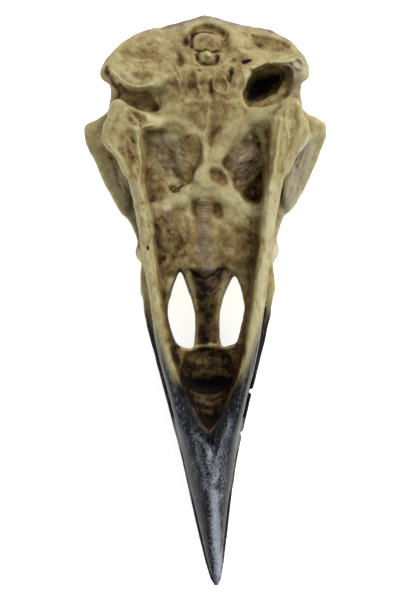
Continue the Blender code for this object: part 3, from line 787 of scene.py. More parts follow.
def rough_out_cranium(clay):
    """The masses of the braincase, brow and bill, and the large hollows between them."""
    dome = egg((0, 30.4, -9.4), (15.1, 13.9, 11.4))
    between_sockets = egg((0, 21.5, -10.6), (12.0, 13.5, 10.3))
    base = egg((0, 31.0, -0.9), (8.6, 6.4, 2.5))
    brow = arch(BROW, fullness=2.1, edge=1.2)
    upper_bill = arch(UPPER_BILL, fullness=1.9, edge=0.4)
    shield = slab(both_halves(SHIELD), SHIELD_THICKNESS, SHIELD_CENTRE, SHIELD_SLOPE, rounding=1.6)
    mouth_vault = egg((0, -1.2, 0.6), (6.6, 6.4, 8.2))
    bill_vault = egg((0, -14.2, 0.9), (5.4, 7.4, 5.9))
    for form, melt in (
        (dome, 0.6), (between_sockets, 1.5), (base, 2.0), (brow, 1.0), (upper_bill, 1.0), (shield, 1.6)
    ):
        clay.add(form, melt)
    for side, _ in SIDES:
        ear_wall = egg((side * 12.7, 33.0, -5.5), (2.2, 4.0, 5.6))
        clay.add(ear_wall, melt=1.2)
    for side, _ in SIDES:
        eye_socket = egg((side * 11.9, 14.6, -4.4), (10.6, 8.6, 6.6))
        nostril = egg((side * 9.6, -1.2, -6.6), (6.2, 4.9, 2.9))
        tear_gap = egg((side * 10.6, 4.6, -6.4), (4.2, 1.5, 2.9), tilt=-8)
        corner = slab(mirrored(BROW_CORNER, side), 2.6, (side * 16, 26.4, -6.6), -24, rounding=0.9)
        clay.cut(eye_socket, melt=1.2)
        clay.cut(nostril, melt=1.0)
        clay.cut(tear_gap, melt=0.6)
        clay.add(corner, melt=1.0)
    clay.cut(mouth_vault, melt=1.0)
    clay.cut(bill_vault, melt=0.8)


def add_struts(clay):
    """The slender bones of the brow, the nostril's side and the gape."""
    keel_of_palate = [(0, 28, -1.4, 1.8), (0, 21, -2.2, 1.6), (0, 6, -3.4, 1.2)]
    postorbital = [(17.6, 26.9, -9.0, 1.8), (16.6, 26.4, -6.0, 1.2), (15.6, 25.7, -3.6, 0.7)]
    zygomatic = [(13.6, 31.0, -7.0, 1.6), (15.0, 29.4, -5.0, 1.0), (15.3, 27.9, -3.4, 0.6)]
    lacrimal = [(9.9, 8.2, -11.0, 1.5), (10.1, 7.4, -7.0, 1.1), (10.0, 6.9, -3.9, 0.9)]
    nasal = [(8.6, 3.0, -10.8, 1.3), (9.3, 2.2, -6.0, 1.1), (9.2, 1.4, -2.2, 1.3)]
    jugal = [(13.2, 27.0, -1.3, 0.8), (11.3, 20.0, -1.7, 0.75), (10.0, 12.0, -1.9, 0.75),
             (9.3, 5.6, -1.9, 0.9)]
    quadrate_arm = [(12.4, 28.6, -2.6, 1.1), (10.4, 26.6, -3.4, 0.8), (9.2, 25.2, -3.8, 0.6)]
    clay.add(bar(keel_of_palate), melt=1.5)
    for side, _ in SIDES:
        for bone in (postorbital, zygomatic, lacrimal, nasal, jugal, quadrate_arm):
            clay.add(bar(mirrored(bone, side)), melt=0.9)
        quadrate = egg((side * 13.0, 29.4, -2.0), (2.1, 2.0, 2.6))
        clay.add(quadrate, melt=0.9)


def fold_line(y, bow, reach):
    return (-reach, y), (0.2, y - bow), (reach + 0.2, y + 0.2)


def model_mouth(clay):
    """The mouth's floor as one modelled surface: palate, pits, crossed ridges and nostril bar."""
    floor = Drawing(clay, waver=0.35, seed=21)
    floor.amount += read_off(MOUTH_FLOOR, floor.y).astype(np.float32)[None, :]
    floor.patches(
        (LEFT_PIT, -2.4, 0.8),
        (((-5.2, 24.0), (-2.2, 24.4), (-1.8, 21.6), (-3.4, 18.8), (-6.0, 18.6)), -0.6, 1.8),
        (RIGHT_PIT, -2.3, 1.1),
        (RIGHT_PIT_DEEP, -1.2, 0.6),
        (SMALL_HOLLOW, -0.7, 0.5),
        (VALLEY, -0.9, 1.2),
        (PALATE_LEFT, 0.7, 1.8),
        (PALATE_RIGHT, 0.4, 1.6),
    )
    floor.soften(0.5)
    floor.lines(
        # the crossed ridges, from each heel past the middle and on to the sides of the palate
        (((-9.6, 28.9), (-7.2, 28.4), (-5.1, 28.4), (-3.0, 27.6), (-1.4, 26.3), (-0.3, 24.4),
          (-0.2, 22.4), (-0.8, 19.8), (-1.6, 18.6)), 2.4, 0.25),
        (((9.6, 28.0), (7.4, 28.0), (5.2, 27.2), (3.6, 25.4), (2.2, 23.2), (0.9, 21.2), (-0.4, 19.4),
          (-0.5, 17.6)), 6.0, 0.5),
        (((-0.5, 17.6), (-2.4, 16.9), (-4.4, 15.8), (-6.4, 14.8), (-8.2, 13.2)), 3.4, 0.45),
        (((-0.4, 17.6), (1.8, 17.0), (3.8, 15.9), (5.6, 14.9), (8.6, 14.2)), 4.2, 0.4),
        (((-0.6, 19.0), (-0.3, 17.4), (-0.3, 16.0)), 4.0, 0.35),
    )
    floor.patch(VOMER, 0.45, 1.3)
    floor.patch(NOSTRIL_STEP, -1.0, 0.6)
    floor.soften(0.4)
    # the small pits round the rear of the vomer
    floor.patch(((1.3, 15.5), (2.3, 14.9), (2.6, 13.4), (2.2, 12.1), (1.5, 12.8),
                 (1.1, 14.1)), -0.6, 0.5)
    floor.line(((-1.8, 15.2), (-2.0, 14.4), (-1.9, 13.4)), 1.1, -0.35)
    floor.patch(((-6.0, 17.7), (-5.2, 17.9), (-4.0, 17.4), (-4.4, 16.7), (-5.6, 16.8)), -0.9, 0.4)
    # the bar between the nostril openings, the hole at its end and the edge of the shelf in front
    floor.line(((0, 4.6), (-0.1, 1.0), (-0.1, -3.0), (0, -7.2)), 4.0, 0.9)
    floor.dab(-0.4, -6.6, 1.2, -1.2)
    floor.line(((-4.6, -7.5), (-2.2, -7.7), (-0.3, -7.2), (2.2, -7.6), (4.5, -7.2)), 0.9, 0.5)
    for fold, lift in zip(FOLDS, (0.45, 0.45, 0.3)):
        floor.line(fold_line(*fold), 1.5, lift)
    depth_in_bill, depth_behind = 4.0, 1.8
    depth = np.where(floor.y < BILL_HINGE_Y, depth_in_bill, depth_behind).astype(np.float32)[None, :]
    clay.add(modelled_floor(floor, both_halves(MOUTH_OUTLINE), depth), melt=1.0)
    for side, word in SIDES:
        clay.add(mouth_wall(side), melt=2.2)
        clay.cut(upright(NOSTRIL_WELLS[word], z_low=-30, z_high=20, rounding=0.1), melt=0.25)


def open_ears(clay):
    """The hollows between the shield and the jaw's heels; the right one is a cave, deep and dark."""
    right_depths = egg((9.1, 33.9, -2.8), (3.7, 2.0, 4.0), turn=38)
    left_depths = egg((-9.0, 31.2, 2.6), (3.0, 1.8, 2.4))
    clay.cut(upright(EAR_CAVE, z_low=-1.8, z_high=12, rounding=1.2), melt=0.4)
    clay.cut(right_depths, melt=2.4)
    clay.cut(upright(EAR_HOLLOW, z_low=-1.2, z_high=12, rounding=0.8), melt=0.35)
    clay.cut(left_depths, melt=1.2)
    rear_wall = [(14.8, 36.4, -3.0, 0.8), (14.6, 34.8, -2.6, 0.7), (14.3, 33.0, -2.2, 0.75),
                 (14.5, 31.0, -2.0, 1.0)]
    hook = [(15.0, 38.2, -3.2, 0.8), (15.8, 36.8, -1.9, 0.75), (16.1, 35.6, -1.0, 0.55),
            (15.8, 35.0, -0.6, 0.4)]
    for side, _ in SIDES:
        outer_wall = egg((side * 14.1, 33.2, -5.6), (0.9, 3.4, 4.6))
        clay.add(bar(mirrored(hook, side)), melt=0.5)
        clay.add(bar(mirrored(rear_wall, side)), melt=0.6)
        clay.add(outer_wall, melt=0.8)
    slit = [(-15.5, 37.2, 1.5, 0.25), (-15.3, 36.2, 0.4, 0.35), (-14.4, 34.8, -1.4, 0.35),
            (-13.9, 33.2, -2.2, 0.4), (-14.1, 31.6, -2.0, 0.4)]
    clay.cut(bar(slit), melt=0.3)


def add_shield_lobes(clay):
    """The swelling on the left of the shield and the flap of bone on its right."""
    left = slab(LEFT_LOBE, 2.4, (-9.5, 38.4, -2.7), SHIELD_SLOPE - 2, rounding=1.6)
    right = slab(RIGHT_FLAP, 1.8, (11.2, 39.6, -3.4), SHIELD_SLOPE, rounding=0.9)
    clay.add(left, melt=1.2)
    clay.add(right, melt=0.9)


def draw_shield(cast):
    """The arch over the neck's opening, its plug, the small knob, and the rough bone below."""
    forms = Drawing(cast, waver=0.25, seed=11)
    crest = ((-4.8, 38.8), (-4.2, 40.4), (-3.6, 42.0), (-2.4, 43.6), (0.3, 45.0), (2.8, 44.2), (5.2, 42.8))
    forms.lines(
        # the arch, its right foot, the furrow beside its left foot and the one inside it
        (crest, 2.8, 0.55),
        (((4.6, 42.8), (5.0, 40.8), (5.0, 39.0)), 3.2, 0.5),
        (((-3.6, 42.0), (-3.6, 40.6), (-4.2, 39.0), (-3.8, 37.4)), 2.0, -0.4),
        (((-2.5, 39.6), (-2.6, 41.3), (-1.6, 42.9), (0.4, 43.5), (2.3, 43.0), (3.4, 41.6),
          (3.4, 39.8)), 2.2, -0.6),
    )
    # the plug, and the cup round the knob
    forms.patch(((-1.8, 41.3), (-1.2, 42.3), (0.3, 42.7), (2.2, 42.2), (3.0, 40.7), (2.6, 39.6),
                 (0.3, 39.4), (-1.7, 39.7)), 0.35, 0.5)
    forms.line(((-1.2, 38.8), (-1.0, 37.8), (0.4, 37.2), (1.7, 37.7), (2.0, 38.6)), 1.2, -0.7)
    forms.patches(
        # the rough bone below, and the hollows of the right flap and the left lobe
        (((-3.6, 36.8), (3.7, 36.8), (3.6, 34.8), (1.8, 34.0), (-2.2, 34.0), (-3.4, 34.8)), 0.45, 0.9),
        (((7.6, 42.3), (9.4, 42.1), (12.0, 41.5), (13.7, 40.3), (13.0, 39.4), (10.9, 39.2), (9.1, 39.7),
          (7.6, 41.0)), -0.55, 0.5),
        (((-12.9, 40.4), (-9.0, 41.0), (-6.6, 39.4), (-7.6, 36.4), (-11.6, 36.4),
          (-13.2, 38.4)), -0.5, 2.2),
        (((-11.4, 36.2), (-10.1, 36.5), (-8.5, 35.9), (-8.3, 34.9), (-10.1, 34.7),
          (-11.4, 35.2)), -0.3, 0.9),
    )
    forms.soften(0.5)
    # the plug's upper and lower edge, and the knob under it
    forms.line(((-2.1, 40.0), (-2.1, 41.4), (-1.5, 42.5), (0.4, 42.9), (1.8, 42.6)), 0.6, -0.5)
    forms.line(((-1.7, 39.6), (-0.6, 39.3), (0.2, 39.6), (1.0, 39.3), (2.7, 39.4)), 0.5, -0.4)
    forms.dab(0.5, 38.8, 1.7, 0.9)
    forms.lines(
        # the rim round the knob, and the small ridges of the rough bone
        (((-1.6, 38.7), (-1.2, 37.3), (0.4, 36.7), (2.0, 37.3), (2.3, 38.6)), 0.7, 0.35),
        (((-2.1, 38.8), (-1.6, 39.1), (-1.1, 38.6)), 0.5, 0.35),
        (((3.3, 37.5), (4.2, 38.0), (4.7, 38.4)), 0.6, 0.35),
        (((2.8, 36.9), (3.6, 37.3), (3.9, 36.6), (3.5, 36.1)), 0.6, 0.4),
        (((-3.2, 36.9), (-1.6, 36.4), (0.6, 36.4), (2.6, 36.8)), 0.8, 0.3),
        (((4.3, 36.3), (4.0, 35.2), (3.8, 34.4)), 1.0, -0.5),
    )
    # the pits of the rough bone and the walls between them
    forms.dab(-0.8, 36.0, 0.8, -0.35)
    forms.line(((-0.9, 35.4), (-1.1, 33.8), (-0.7, 32.6), (-1.0, 31.6)), 0.7, 0.4)
    forms.patch(((0.4, 34.0), (1.3, 34.5), (1.4, 33.2), (1.0, 31.6), (0.6, 32.2)), -0.25, 0.4)
    forms.line(((1.7, 35.4), (1.4, 34.4), (1.4, 33.2), (2.2, 32.4), (3.4, 32.3), (3.8, 33.8),
                (3.1, 34.8)), 0.6, 0.4)
    forms.patch(((-2.9, 35.6), (-1.5, 35.7), (-1.5, 33.9), (-2.3, 33.0), (-3.0, 34.2)), -0.3, 0.5)
    forms.lines(
        # furrows and ridges on towards the pits, and the edges of the flap and the lobe
        (((2.6, 36.9), (3.4, 36.2), (4.4, 35.6)), 0.5, -0.3),
        (((-3.4, 30.8), (-2.2, 31.3), (-0.8, 30.9), (0.6, 31.3)), 0.8, 0.15),
        (((0.7, 31.0), (0.4, 28.9), (0.2, 27.0), (-0.3, 25.6)), 0.6, 0.3),
        (((2.2, 31.8), (3.4, 31.0), (4.6, 31.3), (5.8, 30.8)), 0.7, 0.15),
        (((6.0, 37.4), (6.6, 37.7), (7.1, 37.8)), 0.5, -0.6),
        (((5.2, 36.6), (5.8, 35.0), (5.6, 33.4)), 1.4, -0.35),
        (((7.4, 36.6), (9.6, 37.0), (12.0, 37.6), (14.6, 38.0)), 0.9, 0.4),
        (((-14.9, 36.2), (-13.5, 34.9), (-11.9, 34.0), (-10.3, 33.7), (-8.6, 33.7)), 0.9, 0.35),
    )
    forms.dab(7.5, 42.3, 0.9, -0.4)
    forms.line(((13.6, 37.4), (14.3, 36.4), (15.2, 36.0), (15.3, 37.0), (14.7, 37.9)), 0.5, -0.35)
    for line in (
        ((-5.6, 36.6), (-4.4, 35.0), (-4.0, 33.4)),
        ((-4.6, 36.8), (-3.9, 35.8), (-3.8, 34.6)),
        ((-11.3, 38.9), (-10.2, 38.1), (-8.8, 38.2)),
        ((9.2, 40.9), (10.4, 40.3), (11.4, 40.4)),
        ((11.8, 40.6), (12.6, 40.2), (12.8, 39.7)),
    ):
        forms.line(line, 0.6, 0.25)
    cast.draw(forms, z_low=-12, z_high=8)


def model_heels(cast):
    """The heels of the jaw: a raised rim outside, a raised crest inside, a shallow dip between."""
    forms = Drawing(cast, waver=0.25, seed=71)
    forms.patch(HEEL_DIP_LEFT, -0.7, 1.0)
    forms.patch(HEEL_DIP_RIGHT, -0.4, 0.9)
    forms.soften(0.4)
    forms.lines(
        # the left heel: its outer rim, its inner crest and the arm from there to the pit
        (((-13.4, 30.2), (-14.8, 28.2), (-15.9, 26.2), (-15.9, 24.5), (-14.6, 23.0), (-13.0, 20.4),
          (-12.2, 17.6)), 1.8, 0.5),
        (((-10.9, 26.2), (-10.7, 24.0), (-10.6, 21.0), (-10.4, 18.0), (-9.8, 15.0)), 1.1, 0.5),
        (((-10.9, 26.2), (-10.2, 26.5), (-9.1, 27.2), (-8.2, 27.5)), 0.7, 0.4),
    )
    forms.patch(((-12.4, 29.3), (-10.6, 29.6), (-9.3, 28.6), (-9.3, 27.7), (-11.0, 26.9),
                 (-12.4, 27.7)), -0.5, 0.7)
    forms.lines(
        (((-12.2, 28.9), (-11.0, 28.2), (-9.9, 28.2)), 0.5, 0.25),
        (((-12.8, 28.0), (-11.6, 27.6), (-10.4, 27.7)), 0.5, 0.2),
        # the right heel: its outer rim and its inner crest
        (((14.6, 30.2), (15.2, 28.2), (15.1, 26.0), (13.6, 23.2), (12.6, 20.6),
          (12.2, 17.4)), 1.7, 0.45),
        (((11.9, 27.6), (11.4, 25.0), (10.9, 21.8), (10.5, 18.9), (9.8, 16.6)), 1.1, 0.5),
    )
    forms.patch(((11.9, 29.2), (12.8, 29.6), (13.4, 28.6), (12.6, 27.8), (11.8, 28.2)), -0.2, 0.8)
    forms.line(((12.9, 28.9), (12.6, 27.0), (12.9, 24.6)), 0.6, 0.3)
    forms.line(((13.9, 29.4), (13.9, 27.0), (13.4, 24.8)), 0.5, 0.25)
    cast.draw(forms, z_low=3.2, z_high=10, fade=1.2)


def hatch(forms, start, stop, reach, lean, amount, seed):
    """Short slanting strokes side by side from start to stop, as left by a scraping tool."""
    start, stop, reach = np.array(start), np.array(stop), np.array(reach)
    spacing, thickness, shake = 0.42, 0.36, 0.12
    chance = np.random.default_rng(seed)
    for t in np.arange(0, 1, spacing / np.hypot(*(stop - start))):
        base = start + t * (stop - start) + reach * chance.uniform(0, 1)
        length = chance.uniform(0.6, 1.5)
        tip = base + length * np.array(lean) + chance.uniform(-shake, shake, 2)
        forms.line((tuple(base), tuple(tip)), thickness, amount * chance.uniform(0.5, 1.0))


def tooling(clay, amount, most):
    """The scratches and hatching, drawn once to cut them and again to fill them with brown.

    Where strokes cross they add up, to no more than the most.
    """
    marks = Drawing(clay, waver=0.12, seed=31)
    for again in range(3):
        for start, stop, reach, lean, weight, seed in HATCHED_THRICE:
            hatch(marks, start, stop, reach, lean, amount * weight, seed + again)
    for side, _ in SIDES:
        start, stop = (side * 11.2, 16.0), (side * 8.4, -5.0)
        hatch(marks, start, stop, (-side * 1.8, 0), (-side * 0.1, -1), amount * 0.5, 90 + side)
    for start, stop, reach, lean, weight, seed in HATCHED_ONCE:
        hatch(marks, start, stop, reach, lean, amount * weight, seed)
    for line, weight in SCRATCHES:
        marks.line(line, 0.4, amount * weight)
    marks.amount = np.clip(marks.amount, -most, most)
    return marks


def scratch_surface(cast):
    """Cuts the tooling into the resin, and the ripples that cross the vomer."""
    marks = tooling(cast, amount=-0.24, most=0.4)
    first, last, spacing = 8.6, 15.4, 0.52
    for y in np.arange(first, last, spacing):
        marks.line(((-1.4, y - 0.1), (-0.4, y + 0.1), (0.6, y)), 0.42, 0.16)
    cast.draw(marks, z_low=-9, z_high=10)


def chip_bill(cast):
    """The groove below the fork, the seam along the upper bill's right edge and its two chips."""
    forms = Drawing(cast, waver=0.1, seed=91)
    groove = ((0.15, -20.8), (0.1, -22.2), (0.1, -24.0))
    seam = ((9.2, -1.6), (8.4, -5.3), (7.6, -8.3), (6.9, -11.4), (6.35, -14.6), (5.4, -19.2), (4.9, -21.8))
    forms.line(groove, 1.5, -0.9)
    forms.line(seam, 0.5, -0.7)
    cast.draw(forms, z_low=-4, z_high=9)
    chip_radius = 0.35
    for x, y in ((6.75, -14.7), (5.35, -21.4)):
        cells, x_axis, y_axis, z_axis = cast.window((x - 1, y - 1, -4), (x + 1, y + 1, 6))
        chip = np.hypot(x_axis - x, y_axis - y) - chip_radius + 0 * z_axis
        cast.field[cells] = soft_most(cast.field[cells], -chip, 0.2)


def sculpt_skull():
    clay = Clay()
    rough_out_cranium(clay)
    add_struts(clay)
    add_shield_lobes(clay)
    model_mouth(clay)
    open_ears(clay)
    return clay


def sculpt_jaw():
    clay = Clay()
    for side, _ in SIDES:
        clay.add(branch(LOWER_JAW, side), melt=0.6)
        clay.add(upright(mirrored(JAW_HEEL, side), z_low=0.8, z_high=6.5, rounding=1.1), melt=1.2)
        # the inner arm of each heel; the left one's end lies a little further forward
        end_y = 28.7 if side > 0 else 27.8
        inner_arm = [(13.4, 29.5, 3.4, 1.6), (10.8, (29.3 + end_y) / 2, 2.4, 1.4), (7.9, end_y, 1.4, 1.3)]
        clay.add(bar(mirrored(inner_arm, side)), melt=1.4)
    clay.add(arch(LOWER_BILL, fullness=1.75, edge=0.3), melt=0.8)
    clay.cut(upright(FORK, z_low=-0.5, z_high=12, rounding=0.2), melt=0.9)
    return clay


class Cast:
    """The skull and the jaw run together, as one pour of resin, but still told apart."""

    def __init__(self, skull, jaw):
        melt = 1.0
        self.axes = skull.axes
        self.field = soft_least(skull.field, jaw.field, melt)
        self.jaw_side = (jaw.field - skull.field) / 2

    window, draw, roughen, crumple = Clay.window, Clay.draw, Clay.roughen, Clay.crumple

    def soften(self, size):
        """Rounds off every crease behind the bill, as a wet thumb would."""
        share, bill_y, root_y = 0.35, -16, -6
        softer = box_blur(self.field, max(1, round(size / GRAIN / 2)))
        behind_bill = smooth_step(bill_y, root_y, self.axes[1])[None, :, None]
        self.field += share * behind_bill * (softer - self.field)

    def part(self, is_jaw, y_front, y_back, side=None):
        """The skull or the jaw between two planes, on one side or both.

        Where two parts meet, each runs on into the other and sinks in as it goes, so that their
        surfaces cross at the seam and it doesn't show, as on the cast.
        """
        x, y = self.axes[0][:, None, None], self.axes[1][None, :, None]
        limits = [self.jaw_side if is_jaw else -self.jaw_side]
        if side:
            limits.append(-side * x)
        if y_front is not None:
            limits.append(y_front - y)
        if y_back is not None:
            limits.append(y - y_back)
        field = self.field.copy()
        for beyond in limits:
            field += LAP_SINK * smooth_step(-LAP, LAP, beyond)
            field = np.maximum(field, beyond - LAP)
        return field


# ---------------------------------------------------------------- skinning the clay


def skin(field, low):
    """A closed mesh on the clay's surface: one point for each cell that the surface crosses."""
    inside = field < 0
    low_corner, high_corner = (slice(None, -1), slice(1, None))
    corners = [(a, b, c) for a in (0, 1) for b in (0, 1) for c in (0, 1)]
    count = np.zeros([n - 1 for n in field.shape], np.int8)
    for corner in corners:
        count += inside[tuple((low_corner, high_corner)[step] for step in corner)]
    crossed = (count > 0) & (count < 8)
    number = np.full(crossed.shape, -1, np.int32)
    cells = np.argwhere(crossed)
    number[crossed] = np.arange(len(cells))
    values = [field[tuple((cells + corner).T)] for corner in corners]
    places = np.zeros((len(cells), 3), np.float32)
    hits = np.zeros(len(cells), np.float32)
    for i, one in enumerate(corners):
        for j, other in enumerate(corners):
            if j <= i or sum(abs(a - b) for a, b in zip(one, other)) != 1:
                continue
            cut = (values[i] < 0) != (values[j] < 0)
            t = np.where(cut, values[i] / np.where(cut, values[i] - values[j], 1), 0)
            step = np.array(one) + t[:, None] * (np.array(other) - np.array(one))
            places += np.where(cut[:, None], step, 0)
            hits += cut
    places = (cells + places / hits[:, None]) * GRAIN + np.array(low)
    quads = []
    for axis in range(3):
        side_one, side_two = [a for a in range(3) if a != axis]
        ahead = [slice(None)] * 3
        behind = [slice(None)] * 3
        ahead[axis], behind[axis] = slice(1, None), slice(None, -1)
        changes = inside[tuple(ahead)] != inside[tuple(behind)]
        edges = np.argwhere(changes)
        room = (edges[:, side_one] > 0) & (edges[:, side_two] > 0)
        edges = edges[room]
        leaving = inside[tuple(edges.T)]
        ring = []
        for back_one, back_two in ((1, 1), (0, 1), (0, 0), (1, 0)):
            cell = edges.copy()
            cell[:, side_one] -= back_one
            cell[:, side_two] -= back_two
            ring.append(number[tuple(cell.T)])
        ring = np.stack(ring, axis=1)
        turn_over = leaving if axis == 1 else ~leaving
        ring[turn_over] = ring[turn_over][:, ::-1]
        quads.append(ring)
    return places.astype(np.float32), np.concatenate(quads)


def largest_body(places, quads):
    """The mesh without any crumbs that float free of it."""
    group = np.arange(len(places))
    while True:
        least = group[quads].min(axis=1)
        before = group.copy()
        for k in range(4):
            np.minimum.at(group, quads[:, k], least)
        group = group[group]
        if (group == before).all():
            break
    kept = group == np.bincount(group).argmax()
    number = np.cumsum(kept) - 1
    return places[kept], number[quads[kept[quads[:, 0]]]]


def relaxed(places, quads):
    """Evens out the steps that the grid leaves: each point goes half way to its neighbours' mean."""
    edges = np.concatenate([quads[:, (k, (k + 1) % 4)] for k in range(4)])
    degree = np.bincount(edges[:, 0], minlength=len(places))
    pulled = [np.bincount(edges[:, 0], places[edges[:, 1], k], len(places)) / degree for k in range(3)]
    return (places + 0.5 * (np.stack(pulled, axis=1) - places)).astype(np.float32)


def box_blur(grid, cells):
    """The mean over a cube of cells round each, along one axis after another."""
    for axis in (a for a in range(3) if grid.shape[a] > 1):
        padded = np.concatenate(
            [np.repeat(np.take(grid, [0], axis), cells + 1, axis), grid,
             np.repeat(np.take(grid, [-1], axis), cells, axis)], axis
        )
        total = np.cumsum(padded, axis=axis, dtype=np.float64)
        count = 2 * cells + 1
        ahead = [slice(None)] * 3
        behind = [slice(None)] * 3
        ahead[axis], behind[axis] = slice(count, None), slice(None, -count)
        grid = ((total[tuple(ahead)] - total[tuple(behind)]) / count).astype(np.float32)
    return grid


def sampled(grid, places):
    """The grid's value at each place in the skull's frame."""
    at = (places - np.array(CLAY_LOW)) / GRAIN
    cell = np.clip(at.astype(int), 0, np.array(grid.shape) - 2)
    t = np.clip(at - cell, 0, 1)
    value = 0
    for corner in [(a, b, c) for a in (0, 1) for b in (0, 1) for c in (0, 1)]:
        share = np.prod(np.where(corner, t, 1 - t), axis=1)
        value = value + share * grid[tuple((cell + corner).T)]
    return value


# ---------------------------------------------------------------- laying the cast down


def resting_matrix():
    tipped = Matrix.Rotation(math.radians(RESTING_TILT), 4, "X")
    return Matrix.Translation(Vector(RESTING_PLACE)) @ tipped


def laid_down(places):
    """From the skull's frame in millimetres to the resting one in metres: bill bent, worn flat below."""
    bent = places.astype(float)
    reach = np.maximum(0, BILL_BEND_START_Y - bent[:, 1]) / (BILL_BEND_START_Y - BILL_TIP_Y)
    bent[:, 0] += BILL_BEND * reach * reach
    pose = np.array(resting_matrix())
    laid = bent @ pose[:3, :3].T + pose[:3, 3]
    laid[:, 2] = np.maximum(laid[:, 2], 0)
    return laid * MM


# ---------------------------------------------------------------- painting the cast


def paint_shield(wash_and_shade, mauve):
    """Brown in the arch's furrows, also painted shade, its plug and below the lobes; a mauve painted shade
    beyond the rim.
    """
    # beyond the shield's rim, where the crown curves away from view: a band of painted shade, brown and
    # mauve
    beyond_rim = ((-16.2, 38.4), (-14.9, 40.6), (-13.0, 42.3), (-10.7, 43.4), (-8.0, 44.1), (-5.0, 44.2),
                  (-2.6, 45.2), (0.3, 45.8), (3.0, 45.2), (5.6, 44.4), (8.4, 44.1), (11.2, 42.8),
                  (13.6, 41.6), (15.4, 39.8), (16.4, 38.2))
    wash_and_shade.lines(
        # the furrows round the arch: brown wash and painted shade
        (((-3.4, 42.4), (-3.2, 41.3), (-3.9, 40.0), (-4.2, 38.6), (-3.6, 37.4)), 2.4, 0.26),
        (((-2.6, 39.7), (-2.7, 41.3), (-1.5, 43.1), (0.3, 43.8), (2.3, 43.2), (3.5, 41.8),
          (3.6, 39.8)), 2.0, 0.2),
        (((-2.2, 40.2), (-2.2, 41.5), (-1.6, 42.5), (-0.2, 42.9), (1.1, 42.8)), 0.6, 0.3),
        (((-1.4, 38.8), (-1.0, 37.6), (0.4, 37.0), (1.7, 37.5), (2.1, 38.6)), 1.1, 0.35),
        (((4.3, 36.4), (4.0, 35.2), (3.8, 34.4)), 1.0, 0.25),
        (((5.9, 37.4), (6.6, 37.7), (7.2, 37.8)), 0.6, 0.5),
        (((1.0, 34.6), (0.8, 33.0), (1.2, 31.4)), 0.9, 0.14),
        (beyond_rim, 1.7, 0.2),
    )
    wash_and_shade.patches(
        (((-12.9, 40.6), (-10.8, 40.6), (-10.4, 38.7), (-12.0, 37.7), (-13.2, 39.0)), 0.1, 0.6),
        (((-9.9, 39.7), (-8.0, 39.9), (-6.4, 38.9), (-7.3, 37.3), (-9.6, 38.0)), 0.14, 0.6),
        (((-11.6, 36.2), (-10.1, 36.6), (-8.3, 36.0), (-8.1, 34.7), (-10.1, 34.4),
          (-11.6, 35.1)), 0.24, 0.8),
        (((-1.8, 41.3), (0.3, 42.6), (3.0, 40.7), (2.7, 39.5), (-1.6, 39.6)), 0.22, 0.8),
        (((4.6, 40.6), (6.4, 39.8), (7.6, 38.4), (6.4, 36.4), (5.2, 33.4), (4.0, 34.6),
          (3.8, 38.4)), 0.26, 1.2),
        (((7.5, 42.5), (9.4, 42.2), (12.0, 41.7), (13.8, 40.3), (13.0, 39.3), (9.1, 39.6),
          (7.4, 41.0)), 0.2, 0.8),
        (((-5.6, 37.6), (-4.0, 36.8), (-3.4, 34.0), (-3.8, 31.4), (-6.4, 31.2),
          (-6.2, 34.8)), 0.14, 1.2),
        (((-3.6, 36.8), (3.7, 36.8), (3.8, 33.0), (1.8, 31.6), (-2.2, 31.6), (-3.6, 33.0)), 0.1, 0.9),
        (((-3.0, 35.8), (-1.4, 35.8), (-1.4, 33.8), (-2.3, 32.8), (-3.2, 34.2)), 0.22, 0.6),
        (((-3.4, 30.6), (0.4, 31.0), (0.0, 28.0), (-0.6, 25.6), (-2.2, 27.6)), 0.2, 1.0),
        (((1.0, 31.0), (4.6, 30.6), (3.4, 27.6), (1.6, 24.6), (0.4, 25.6)), 0.24, 0.9),
    )
    # the mauve band of painted shade beyond the rim
    mauve.line(beyond_rim, 2.4, 0.8)


def paint_ears(wash_and_shade, mauve, wiped_and_lit):
    """The caves almost black with wash and painted shadow, the right one's lower rim painted lit and the
    wall beside it mauve.
    """
    wash_and_shade.patches(
        # the right cave, darkened with wash and painted shade
        (EAR_CAVE, 0.24, 0.7),
        (((13.6, 36.4), (15.2, 35.2), (15.2, 31.4), (13.6, 31.6)), 0.16, 0.6),
        # the right cave's upper left inside, a painted shadow cast by its rim
        (((6.6, 31.8), (6.8, 33.2), (8.1, 34.9), (10.0, 36.1), (12.0, 36.2), (12.0, 35.2), (10.1, 33.3),
          (8.6, 31.9)), 0.6, 1.3),
        (((-13.4, 34.0), (-10.3, 33.2), (-8.6, 32.6), (-7.6, 30.3), (-9.2, 29.6),
          (-12.3, 31.2)), 0.12, 1.3),
        (((-11.4, 31.8), (-8.3, 31.9), (-7.2, 30.9), (-8.6, 29.9), (-10.9, 30.1)), 0.12, 0.9),
    )
    # the right cave's lower rim painted lighter: painted light where the light reaches in
    wiped_and_lit.patch(((6.6, 30.4), (9.2, 30.4), (12.4, 31.8), (13.6, 33.4), (11.6, 33.0),
                 (8.8, 31.6)), 0.2, 0.8)
    mauve.patch(((13.2, 37.6), (16.4, 38.0), (16.4, 35.0), (15.2, 33.8), (15.2, 31.4),
                 (13.6, 31.6)), 0.7, 0.7)
    wash_and_shade.line(((13.4, 37.2), (14.2, 36.2), (15.0, 35.8), (15.2, 36.8), (14.6, 37.8)), 0.6, 0.2)
    wash_and_shade.line(((-15.6, 37.2), (-15.5, 36.3), (-14.6, 35.2), (-14.0, 33.8), (-13.8, 32.4),
               (-14.3, 31.4)), 0.8, 0.5)


